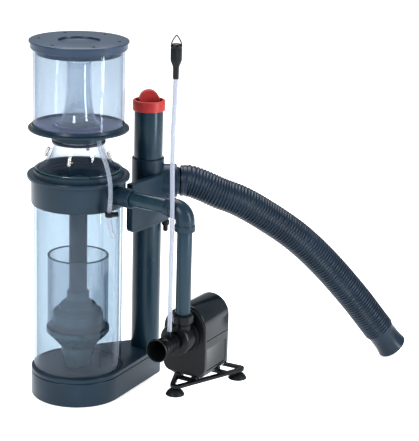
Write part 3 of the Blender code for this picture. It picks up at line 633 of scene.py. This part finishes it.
base = {"large": 63.3, "small": 22.5, "apart": 122, "seam": 33.85, "top": 40, "wall": 5, "floor": 5,
        "roundBelow": 1.6, "roundAbove": 1.0, "pedestalPort": 17.55, "standPort": 17}
baseTub = teardropPlate(base, 0, 0, base["seam"])
roundEdges(baseTub, base["roundBelow"] * mm, 5, 60)
carve(baseTub, teardropPlate(base, -base["wall"], base["floor"], base["seam"] + 5))
finishPiece(baseTub, "baseTub", "skimmer", "pvcGrey", "base_box")
baseDeck = teardropPlate(base, 0, base["seam"] + 0.1, base["top"])
roundEdges(baseDeck, base["roundAbove"] * mm, 4, 60)
carve(baseDeck, rod(base["pedestalPort"] * mm, 20 * mm, 60 * mm))
carve(baseDeck, placed(rod(base["standPort"] * mm, 20 * mm, 60 * mm), shift(base["apart"] * mm)))
finishPiece(baseDeck, "baseDeck", "skimmer", "pvcGrey", "base_plate")
column = {"profile": [(60, 40.3), (60, 276), (56, 276), (56, 40.3)], "sides": 144, "edge": 0.3}
finishPiece(spinPiece(column), "columnTube", "skimmer", "columnAcrylic", "body_tube")
# glued joint round the foot of the column
footBead = {"profile": [(62.4, 40.0), (61.6, 40.7), (60.2, 41.4), (60.05, 41.4), (60.05, 40.0)], "sides": 144}
finishPiece(spinPiece(footBead), "footBead", "skimmer", "pvcGrey")

# ---- inside the column ----
pedestal = {"profile": [(19.75, 40.3), (19.75, 65), (17.55, 65), (17.55, 40.3)], "edge": 0.3}
finishPiece(spinPiece(pedestal), "pedestalPipe", "skimmer", "frostedPlastic", "pedestal_tube")
dish = {"profile": [(42.8, 96), (43.0, 95.4), (42.8, 89), (40.2, 86), (33, 79), (25, 70), (22.4, 67), (22.3, 56),
                    (20.1, 56), (20.05, 65.3), (17.6, 65.4), (24, 74), (33, 84), (35.7, 88.6), (35.7, 90),
                    (41.5, 90), (41.5, 96)], "sides": 128}
finishPiece(spinPiece(dish), "diffuserDish", "skimmer", "frostedPlastic", "diffuser_dish")
bell = {"profile": [(14.6, 146), (15.2, 145.4), (15.2, 134.5), (16.6, 133), (22, 130.4), (25, 127), (25.2, 122.5),
                    (27, 121.4), (32, 119.6), (34.6, 116), (34.8, 103), (34, 102.4), (33.2, 103), (33.0, 115),
                    (30.6, 118.3), (24.2, 120.6), (23.6, 126), (20.6, 129.2), (10.2, 130.5), (10.2, 136.7),
                    (12.5, 136.7), (12.5, 146)], "sides": 128}
finishPiece(spinPiece(bell), "diffuserBell", "skimmer", "frostedPlastic", "diffuser_bell")
downPipe = {"profile": [(12.2, 137), (12.2, 272), (10.2, 272), (10.2, 137)], "edge": 0.3}
finishPiece(spinPiece(downPipe), "downPipe", "skimmer", "pipeGrey", "down_pipe")
chamber = {"profile": [(41.2, 90.3), (41.2, 197.6), (38.7, 197.6), (38.7, 90.3)], "sides": 128, "edge": 0.8}
finishPiece(spinPiece(chamber), "chamberTube", "skimmer", "chamberAcrylic", "inner_tube")
chamberRim = {"profile": [(41.4, 196.9), (41.5, 197.6), (41.0, 198.2), (38.9, 198.2), (38.4, 197.6), (38.5, 196.9)],
              "sides": 128}
finishPiece(spinPiece(chamberRim), "chamberRim", "skimmer", "frostedPlastic")

# ---- collar and feed inlet ----
print("collar and neck")
feed = {"angle": -76, "height": 291.2, "reach": 173, "stub": 12.4}
feedTurn = spinZ(feed["angle"])
feedAxis = feedTurn @ shift(0, 0, feed["height"] * mm) @ layOut
collar = {"profile": [(67.2, 312), (68.2, 311.6), (68.6, 310.8), (68.6, 307.4), (68.2, 306.5), (67.2, 306),
                      (64.4, 306), (63.4, 305.0), (63.3, 304), (63.3, 273.4), (62.8, 271.9), (61.6, 271.1),
                      (60.3, 271), (60.3, 278.6), (55, 278.6), (55, 308.5), (57.3, 308.5), (57.3, 318.4),
                      (59.2, 318.4), (59.9, 317.8), (60.2, 313.2), (61.2, 312.1)], "sides": 144}
collarHead = spinPiece(collar)
carve(collarHead, placed(rod((feed["stub"] + 0.1) * mm, 40 * mm, 90 * mm), feedAxis))
finishPiece(collarHead, "collarHead", "skimmer", "pvcGrey", "collar_housing")
socket = {"profile": [(12.4, 53), (12.4, 69.5), (12.9, 70), (12.9, 89.2), (12.2, 90), (10.3, 90), (10.3, 53)],
          "edge": 0.4, "sides": 72}
finishPiece(spinPiece(socket, feedAxis), "feedSocket", "skimmer", "pvcGrey", "feed_stub")

# ---- cone neck with its lugs ----
cone = {"profile": [(33, 353.9), (35.2, 353.9), (35.4, 348.5), (38.2, 340.4), (42.9, 331.4), (47.4, 326.2),
                    (52.6, 322.6), (56.0, 320.6), (57, 319.2), (57, 308.8), (54, 308.8), (54, 317.4), (52, 319.6),
                    (46, 323.4), (41, 328.8), (36, 338.4), (33.2, 347.4), (33, 348)], "sides": 128}
coneNeck = spinPiece(cone)
lugs = {"count": 4, "first": -144.3, "out": 43.4, "long": 14, "centre": 338, "radius": 2.6, "round": 1.6,
        "lean": -24}
finishPiece(coneNeck, "coneNeck", "neck", "coneAcrylic", "cone_neck")
lugLean = Matrix.Rotation(math.radians(lugs["lean"]), 4, "Y")
for number in range(lugs["count"]):
    lug = rod(lugs["radius"] * mm, -lugs["long"] / 2 * mm, lugs["long"] / 2 * mm, 40)
    roundEdges(lug, lugs["round"] * mm, 4, 60)
    turnLug = spinZ(lugs["first"] + 360 / lugs["count"] * number)
    placed(lug, turnLug @ shift(lugs["out"] * mm, 0, lugs["centre"] * mm) @ lugLean)
    finishPiece(lug, f"neckLug{number + 1}", "neck", "lugAcrylic")
# the bayonet rim shows as a bright ring
neckRim = {"profile": [(57.1, 319.2), (57.3, 319.6), (57.0, 320.4), (56.0, 320.6), (55.2, 320.2), (55.6, 319.2)],
           "sides": 128}
finishPiece(spinPiece(neckRim), "neckRim", "neck", "frostedPlastic")
ring = {"profile": [(36.0, 354.2), (36.0, 358), (32.3, 358), (32.3, 354.2)], "sides": 96, "edge": 0.9}
finishPiece(spinPiece(ring), "neckRing", "cup", "pvcGrey", "neck_ring")

# ---- collection cup ----
print("cup and lid")
cupFlange = {"profile": [(64.4, 372), (66.4, 372.2), (67.1, 372.9), (67.1, 374.8), (66.5, 375.6), (63.4, 376.3),
                         (62.3, 379.4), (61.05, 379.5), (61.05, 376.4), (60.8, 376.3), (60.4, 374.6), (28.6, 374.6),
                         (28.6, 358.6), (34.9, 358.6), (34.9, 366.2), (36.4, 367), (36.4, 371.6), (37, 372)],
             "sides": 144}
finishPiece(spinPiece(cupFlange), "cupFlange", "cup", "pvcGrey", "cup_floor")
floorPan = {"profile": [(60.3, 374.7), (60.3, 376.3), (34.6, 376.3), (34.2, 379.6), (33.4, 380.2), (29.6, 380.2),
                        (28.7, 379.6), (28.7, 374.7)], "sides": 128}
finishPiece(spinPiece(floorPan), "cupFloorPan", "cup", "floorAcrylic", "cup_floor")
cup = {"profile": [(60.75, 376.8), (60.75, 484), (57.75, 484), (57.75, 376.8)], "sides": 144, "edge": 0.4}
finishPiece(spinPiece(cup), "cupTube", "cup", "cupAcrylic", "cup_tube")
riser = {"profile": [(27.5, 380.3), (25.9, 381.6), (23.5, 385.3), (21.8, 389), (20.5, 393.3), (18.3, 404.3),
                     (17, 418.3), (16.4, 436.3), (16.2, 461.5), (15.6, 462.3), (14.8, 462.3), (14.2, 461.5),
                     (14.4, 436.3), (15, 418.3), (16.3, 404.3), (18.5, 393.3), (19.8, 389), (21.5, 385.3),
                     (23.9, 381.6), (25.5, 380.3)], "sides": 96}
finishPiece(spinPiece(riser), "foamRiser", "cup", "riserAcrylic", "foam_riser")

lid = {"profile": [(3, 488.2), (26.6, 488.2), (27.2, 488.5), (27.6, 491.0), (28.2, 491.4), (64.9, 491.4),
                   (65.6, 491.1), (65.9, 490.4), (65.8, 489.0), (65.2, 488.7), (64.0, 488.5), (63.85, 487.6),
                   (63.85, 481.2), (63.3, 480.4), (61.05, 480.4), (61.05, 486.6), (56.55, 486.6),
                   (56.55, 473.4), (50.05, 473.4), (50.05, 484.4), (3, 484.4)],
       "sides": 144, "vents": 6, "firstVent": -48, "ventOut": 53.5, "ventRadius": 2.3}
cupLid = turned(scaled(lid["profile"]), lid["sides"], True)
for number in range(lid["vents"]):
    turnVent = spinZ(lid["firstVent"] + 360 / lid["vents"] * number)
    carve(cupLid, placed(rod(lid["ventRadius"] * mm, 460 * mm, 500 * mm, 32), turnVent @ shift(lid["ventOut"] * mm)))
finishPiece(cupLid, "cupLid", "lid", "lidGrey", "cup_lid")

# ---- standpipe ----
print("standpipe")
stand = {"radius": 20, "bore": 17, "teeRadius": 22.5, "teeLow": 236, "teeTop": 315, "socketDepth": 24, "slip": 0.1,
         "branchAngle": -36, "branchHeight": 281, "branchRadius": 23.5, "branchBore": 16.5, "cuffBore": 19.7}
standPlace = shift(base["apart"] * mm)
lowerPipe = {"profile": [(20, 40.3), (20, 260), (17, 260), (17, 40.3)], "edge": 0.3}
finishPiece(spinPiece(lowerPipe, standPlace), "standpipeLower", "skimmer", "pipeGrey", "standpipe_lower")
upperPipe = {"profile": [(20, 291), (20, 384), (17, 384), (17, 291)], "edge": 0.5}
finishPiece(spinPiece(upperPipe, standPlace), "standpipeUpper", "skimmer", "pipeGrey", "standpipe_upper")
teeWide, teeLow, teeTop = stand["teeRadius"], stand["teeLow"], stand["teeTop"]
teeBody = {"profile": [(20.3, teeLow), (21.9, teeLow + 0.1), (teeWide, teeLow + 0.8), (teeWide, teeTop - 0.8),
                       (21.9, teeTop - 0.1), (20.3, teeTop)], "solid": True}
branchPlace = standPlace @ spinZ(stand["branchAngle"]) @ shift(0, 0, stand["branchHeight"] * mm) @ layOut
branchBody = {"profile": [(12, 4), (23.5, 4.1), (23.5, 39.2), (22.8, 40), (19.9, 40)], "solid": True}
outletTee = spinPiece(teeBody, standPlace)
carve(outletTee, spinPiece(branchBody, branchPlace), "UNION")
carve(outletTee, placed(rod(stand["bore"] * mm, 220 * mm, 330 * mm), standPlace))
socketBore = (stand["radius"] + stand["slip"]) * mm
carve(outletTee, placed(rod(socketBore, 220 * mm, (teeLow + stand["socketDepth"]) * mm), standPlace))
carve(outletTee, placed(rod(socketBore, (teeTop - stand["socketDepth"]) * mm, 330 * mm), standPlace))
carve(outletTee, placed(rod(stand["branchBore"] * mm, 3 * mm, 60 * mm), branchPlace))
carve(outletTee, placed(rod(stand["cuffBore"] * mm, 26 * mm, 60 * mm), branchPlace))
finishPiece(outletTee, "outletTee", "skimmer", "pvcGrey", "outlet_tee")
nearCuff = {"profile": [(19.5, 26), (19.5, 42.5), (18.9, 43.6), (17.8, 44), (16.5, 43.4), (16.5, 26)], "sides": 72}
finishPiece(spinPiece(nearCuff, branchPlace), "hoseCuffNear", "skimmer", "hosePlastic", "hose_cuff_near")

cap = {"grip": 14, "gripWide": 13, "gripCentre": 395.5, "gripTurn": -34, "gripBelow": 9.3, "gripInset": 2.2,
       "gripHollow": 1.2}
capProfile = [(20.3, 381.5), (22.0, 381.6), (22.35, 382.1), (22.35, 394.6), (21.7, 395.7), (20.6, 396.1),
              (19.2, 396.0), (18.6, 395.3), (18.6, 387.5), (18.1, 387), (3, 387), (3, 384.4), (20.25, 384.4)]
regulatorCap = turned(scaled(capProfile))
# the grip is half a disc standing across the recess
gripDisc = rod(cap["grip"] * mm, -cap["gripWide"] / 2 * mm, cap["gripWide"] / 2 * mm, 96)
openEdit(gripDisc)
bpy.ops.mesh.select_all(action="SELECT")
bpy.ops.mesh.bisect(plane_co=(0, -cap["gripBelow"] * mm, 0), plane_no=(0, 1, 0), clear_inner=True, use_fill=True)
closeEdit()
roundEdges(gripDisc, 1.3 * mm, 4, 40)
openEdit(gripDisc)
shape = bmesh.from_edit_mesh(gripDisc.data)
for face in shape.faces:
    face.select_set(abs(face.normal.z) > 0.99 and face.calc_area() > 100 * mm * mm)
bmesh.update_edit_mesh(gripDisc.data)
bpy.ops.mesh.inset(thickness=cap["gripInset"] * mm, depth=-cap["gripHollow"] * mm)
closeEdit()
gripPlace = shift(0, 0, cap["gripCentre"] * mm) @ spinZ(cap["gripTurn"]) @ Matrix.Rotation(math.radians(90), 4, "X")
carve(regulatorCap, placed(gripDisc, gripPlace), "UNION")
placed(regulatorCap, standPlace)
finishPiece(regulatorCap, "regulatorCap", "regulator", "redPlastic", "regulator_cap")

# ---- bracket web and its knob ----
bracket = {"left": -75.5, "right": 16, "low": 227, "high": 296, "front": -28.9, "back": -18.9, "corner": 9,
           "turn": 14, "collar": 63.35}
bracketPlace = standPlace @ spinZ(bracket["turn"])
web = block((bracket["left"] * mm, bracket["front"] * mm, bracket["low"] * mm),
            (bracket["right"] * mm, bracket["back"] * mm, bracket["high"] * mm))
openEdit(web)
shape = bmesh.from_edit_mesh(web.data)
for edge in shape.edges:
    ends = [vertex.co for vertex in edge.verts]
    if abs(ends[0].y - ends[1].y) > 1 * mm and ends[0].z < 0.25:
        edge.select_set(True)
bmesh.update_edit_mesh(web.data)
bpy.ops.mesh.bevel(offset=bracket["corner"] * mm, segments=8)
closeEdit()
roundEdges(web, 0.8 * mm, 3, 40)
placed(web, bracketPlace)
carve(web, placed(rod((teeWide + 0.05) * mm, 200 * mm, 330 * mm, 96), standPlace))
carve(web, rod(bracket["collar"] * mm, 200 * mm, 330 * mm, 144))
carve(web, placed(rod((stand["branchRadius"] + 0.1) * mm, 5 * mm, 90 * mm), branchPlace))
finishPiece(web, "pipeBracket", "skimmer", "pvcGrey", "pipe_bracket")
knob = {"profile": [(4.2, 226.8), (5.1, 226.6), (5.4, 225.6), (5.4, 221.4), (4.6, 220), (3.5, 219), (3.4, 212.2),
                    (2.6, 211)], "solid": True, "sides": 48}
finishPiece(spinPiece(knob, bracketPlace @ shift(9 * mm, -25.2 * mm)), "bracketKnob", "knob", "blackPlastic",
            "bracket_knob")

# ---- feed line ----
print("feed line")
upperFeed = {"profile": [(10, 64), (10, 147), (8.2, 147), (8.2, 64)], "edge": 0.3, "sides": 72}
finishPiece(spinPiece(upperFeed, feedAxis), "feedPipeUpper", "skimmer", "pipeGrey", "feed_pipe_upper")
elbow = {"radius": 12.6, "rim": 13.4, "rimLong": 8, "rimStep": 0.5, "bend": 15, "leg": 12, "wall": 2.4}
bendAt = feed["reach"] - elbow["bend"]
clearSelection()
bpy.ops.mesh.primitive_circle_add(vertices=64, radius=elbow["rim"] * mm, rotation=(0, math.pi / 2, 0),
                                  location=((bendAt - elbow["leg"]) * mm, 0, 0))
feedElbow = bpy.context.object
bpy.ops.object.transform_apply(location=True, rotation=True)
openEdit(feedElbow)
bpy.ops.mesh.select_all(action="SELECT")
narrow = elbow["radius"] / elbow["rim"]
at = bendAt - elbow["leg"] + elbow["rimLong"]
step = elbow["rimStep"]


def pushOut(along, down):
    bpy.ops.mesh.extrude_region_move(TRANSFORM_OT_translate={"value": (along * mm, 0, -down * mm)})


pushOut(elbow["rimLong"], 0)
pushOut(step, 0)
bpy.ops.transform.resize(value=(1, narrow, narrow), center_override=((at + step) * mm, 0, 0))
pushOut(bendAt - at - step, 0)
bpy.ops.mesh.spin(steps=20, angle=-math.pi / 2, center=(bendAt * mm, 0, -elbow["bend"] * mm), axis=(0, 1, 0))
pushOut(0, elbow["leg"] - elbow["rimLong"])
pushOut(0, step)
bpy.ops.transform.resize(value=(1 / narrow, 1 / narrow, 1), center_override=(
    feed["reach"] * mm, 0, (-elbow["bend"] - elbow["leg"] + elbow["rimLong"] - step) * mm))
pushOut(0, elbow["rimLong"])
bpy.ops.mesh.select_all(action="SELECT")
bpy.ops.mesh.remove_doubles(threshold=sameSpot)
bpy.ops.mesh.normals_make_consistent(inside=False)
closeEdit()
shell = feedElbow.modifiers.new("shell", "SOLIDIFY")
shell.thickness = elbow["wall"] * mm
shell.offset = -1
applyAll(feedElbow)
roundEdges(feedElbow, 0.35 * mm, 3, 40)
placed(feedElbow, feedTurn @ shift(0, 0, feed["height"] * mm))
finishPiece(feedElbow, "feedElbow", "skimmer", "pvcGrey", "feed_elbow")
pumpPlace = feedTurn @ shift(feed["reach"] * mm)
lowerFeed = {"profile": [(10, 142.3), (10, 266), (8.2, 266), (8.2, 142.3)], "edge": 0.3, "sides": 72}
finishPiece(spinPiece(lowerFeed, pumpPlace), "feedPipeLower", "skimmer", "pipeGrey", "feed_pipe_lower")
nut = {"profile": [(12.6, 138), (14.3, 139.4), (14.3, 149.4), (12.6, 151)], "solid": True, "sides": 8}
unionNut = spinPiece(nut)
carve(unionNut, rod(10.4 * mm, 120 * mm, 170 * mm, 72))
roundEdges(unionNut, 0.4 * mm, 3, 25)
placed(unionNut, pumpPlace @ spinZ(22.5))
finishPiece(unionNut, "unionNut", "union", "blackPlastic", "union_nut")

# ---- pump: its own frame has the shaft along +X ----
print("pump")
pump = {"turn": 18, "shaftAcross": 6, "shaftHeight": 115}
pumpFrame = pumpPlace @ spinZ(pump["turn"] - feed["angle"])
shaft = pumpFrame @ shift(0, pump["shaftAcross"] * mm, pump["shaftHeight"] * mm) @ layOut


# an arch-topped block lying along +X round the shaft's line
def archBlock(spec, low, high, shrink=0.0):
    half, corner = spec["half"] - shrink, max(1.0, spec["corner"] - shrink)
    arch = placed(rod(half * mm, low * mm, high * mm, 96),
                  shift(0, spec["across"] * mm, spec["arch"] * mm) @ layOut)
    corners = []
    for side in (-1, 1):
        across = spec["across"] + side * (half - corner)
        corners.append(placed(rod(corner * mm, low * mm, high * mm, 40),
                              shift(0, across * mm, (spec["low"] + shrink + corner) * mm) @ layOut))
    return hullOf([arch] + corners)


motor = {"half": 27, "arch": 127, "low": 55, "corner": 8, "across": 6, "start": 21.6, "end": 90, "wall": 2.5,
         "panel": (30, 82, 64, 95), "groove": 106, "grooveDeep": 0.7, "grooveWide": 1.2,
         "edge": 3.2}
motorHousing = archBlock(motor, motor["start"], motor["end"])
roundEdges(motorHousing, motor["edge"] * mm, 6, 60)
carve(motorHousing, archBlock(motor, motor["start"] - 5, motor["end"] - motor["wall"], motor["wall"]))
for side in (-1, 1):
    face = motor["across"] + side * motor["half"]
    start, end, low, high = motor["panel"]
    panel = block((start * mm, (face - 1) * mm, low * mm), (end * mm, (face + 1) * mm, high * mm))
    roundEdges(panel, 0.9 * mm, 3, 40)
    carve(motorHousing, panel)
    deep, groove = motor["grooveDeep"], motor["groove"]
    slit = block(((motor["start"] - 2) * mm, (face - deep) * mm, groove * mm),
                 ((motor["end"] + 2) * mm, (face + deep) * mm, (groove + motor["grooveWide"]) * mm))
    carve(motorHousing, slit)
placed(motorHousing, pumpFrame)
finishPiece(motorHousing, "motorHousing", "skimmer", "pumpPlastic", "pump_motor_housing")

cover = {"half": 31.5, "arch": 121, "low": 60, "corner": 12, "across": 6, "start": 15.3, "end": 21.3}
frontCover = archBlock(cover, cover["start"], cover["end"])
roundEdges(frontCover, 1.8 * mm, 5, 60)
carve(frontCover, placed(rod(11.4 * mm, -20 * mm, 50 * mm),
                         shift(0, pump["shaftAcross"] * mm, pump["shaftHeight"] * mm) @ layOut))
placed(frontCover, pumpFrame)
finishPiece(frontCover, "frontCover", "skimmer", "blackPlastic", "pump_front_flange")

voluteBody = {"profile": [(4, -12), (17.5, -12), (20.4, -11), (22, -8.4), (22, 12.5), (23.2, 13), (23.2, 15.1),
                          (4, 15.1)], "solid": True}
volute = spinPiece(voluteBody, shaft)
nozzle = {"profile": [(10.9, 112), (10.9, 131), (11.6, 131.6), (11.6, 136), (10.9, 136.6), (10.9, 142), (8, 142)],
          "solid": True, "sides": 72}
carve(volute, spinPiece(nozzle, pumpFrame), "UNION")
carve(volute, placed(rod(9.5 * mm, -26 * mm, -2 * mm), shaft), "UNION")
carve(volute, placed(rod(18 * mm, -8 * mm, 25 * mm), shaft))
carve(volute, placed(rod(7.5 * mm, 117 * mm, 150 * mm), pumpFrame))
carve(volute, placed(rod(6.5 * mm, -40 * mm, 0), shaft))
finishPiece(volute, "volute", "skimmer", "blackPlastic", "pump_volute")

trumpet = {"profile": [(12.4, -16), (12.4, -19), (11.9, -19.6), (11.9, -34), (12.3, -35), (12.3, -37.4), (10.8, -38.6),
                       (10.3, -41), (10.9, -45), (13.4, -50), (15.6, -53.2), (15.9, -55), (15.4, -56), (14.3, -56),
                       (13.2, -54), (11.2, -50), (9.4, -44), (8.6, -38), (8.5, -26.3), (9.8, -26.3), (9.8, -16)],
           "sides": 80}
finishPiece(spinPiece(trumpet, shaft), "inletTrumpet", "skimmer", "blackPlastic", "inlet_trumpet")
gland = {"profile": [(5.4, 90.2), (5.4, 92.5), (4.4, 93.5), (4.2, 98), (3.6, 99)], "solid": True, "sides": 40}
finishPiece(spinPiece(gland, pumpFrame @ shift(0, 6 * mm, 78 * mm) @ layOut), "cableGland", "skimmer",
            "blackPlastic", "cable_gland")
airBarb = {"profile": [(2.9, 123.5), (2.9, 127.5), (2.2, 128.4), (2.2, 131), (3.3, 131.3), (2.5, 134.5)], "solid": True,
           "sides": 32}
finishPiece(spinPiece(airBarb, shift(16 * mm, -171.5 * mm)), "airNipple", "skimmer", "blackPlastic", "air_nipple")

# ---- pump foot and its suction cups ----
# rails and posts: start and end along the shaft, then left and right across it
foot = {"outer": [(4, 9, 9), (101, -30, 9), (99, 48, 9)], "bar": 7, "low": 45, "high": 49, "top": 54.8,
        "rails": [(26, 34, -9, 26), (74, 82, -24, 44)],
        "posts": [(26, 34, -8, 0), (26, 34, 16, 24), (74, 82, -14, -6), (74, 82, 18, 26)]}


def footHull(shrink, low, high):
    return hullOf([placed(rod((radius - shrink) * mm, low * mm, high * mm, 48), shift(along * mm, across * mm))
                   for along, across, radius in foot["outer"]])


footPlate = footHull(0, foot["low"], foot["high"])
carve(footPlate, footHull(foot["bar"], foot["low"] - 4, foot["high"] + 4))
for bars, raised, top in (("rails", 0.2, foot["high"]), ("posts", 0.5, foot["top"])):
    for start, end, left, right in foot[bars]:
        bar = block((start * mm, left * mm, (foot["low"] + raised) * mm), (end * mm, right * mm, top * mm))
        carve(footPlate, bar, "UNION")
roundEdges(footPlate, 0.7 * mm, 3, 40)
placed(footPlate, pumpFrame)
finishPiece(footPlate, "footPlate", "skimmer", "blackPlastic", "pump_foot_plate")
suction = {"spots": [(4, 11.5), (101, -30), (98.5, 47)],
           "profile": [(3.2, 44.7), (3.9, 44.4), (4.1, 42.6), (5.4, 41.8), (8.2, 40.2), (10.9, 37.4), (12.5, 34.4),
                       (12.6, 33.6), (12.1, 33.5), (10.2, 35.6), (7.4, 37.4), (2, 38.6)], "solid": True, "sides": 64}
for number, (along, across) in enumerate(suction["spots"], 1):
    finishPiece(spinPiece(suction, pumpFrame @ shift(along * mm, across * mm)), f"suctionCup{number}", "skimmer",
                "cupRubber", f"suction_cup_{number}")

# ---- CAD pieces kept as they are, with their finishes ----
keptNodes = {
    "pvcGrey": ["feed_inner_elbow"],
    "cupRubber": ["collar_o_ring", "neck_o_ring", "lid_gasket", "rear_bush", "front_bush"],
    "redPlastic": ["regulator_sleeve"],
    "shaftSteel": ["stator_block", "pump_shaft"],
    "ferriteDark": ["rotor_magnet"],
    "blackPlastic": ["rotor_can", "impeller"],
}
for finishName, kept in keptNodes.items():
    for name in kept:
        nodes[name].data.materials.clear()
        nodes[name].data.materials.append(finishes[finishName])

round(routeLength(drainLine), 3)
round(routeLength(airLine), 3)

# ---- floor ----
print("floor")
clearSelection()
bpy.ops.mesh.primitive_plane_add(size=24, location=(0, 0, -0.0005))
studioFloor = bpy.context.object
studioFloor.name = "studioFloor"
floorFinish, maker = newFinish("floorPaper")
paper = speckle(maker, 3.0, 3.0)
paperColour = maker.node("ShaderNodeValToRGB", {"stops": [(0.3, (0.95, 0.95, 0.95)), (0.7, (0.965, 0.965, 0.965))]},
                         {"Fac": paper})
showSurface(maker, maker.node("ShaderNodeBsdfPrincipled", None, {"Base Color": paperColour, "Roughness": 0.7,
                                                                 "Specular IOR Level": 0.0,
                                                                 "Emission Color": (1, 1, 1, 1),
                                                                 "Emission Strength": 0.5}))
studioFloor.data.materials.append(floorFinish)
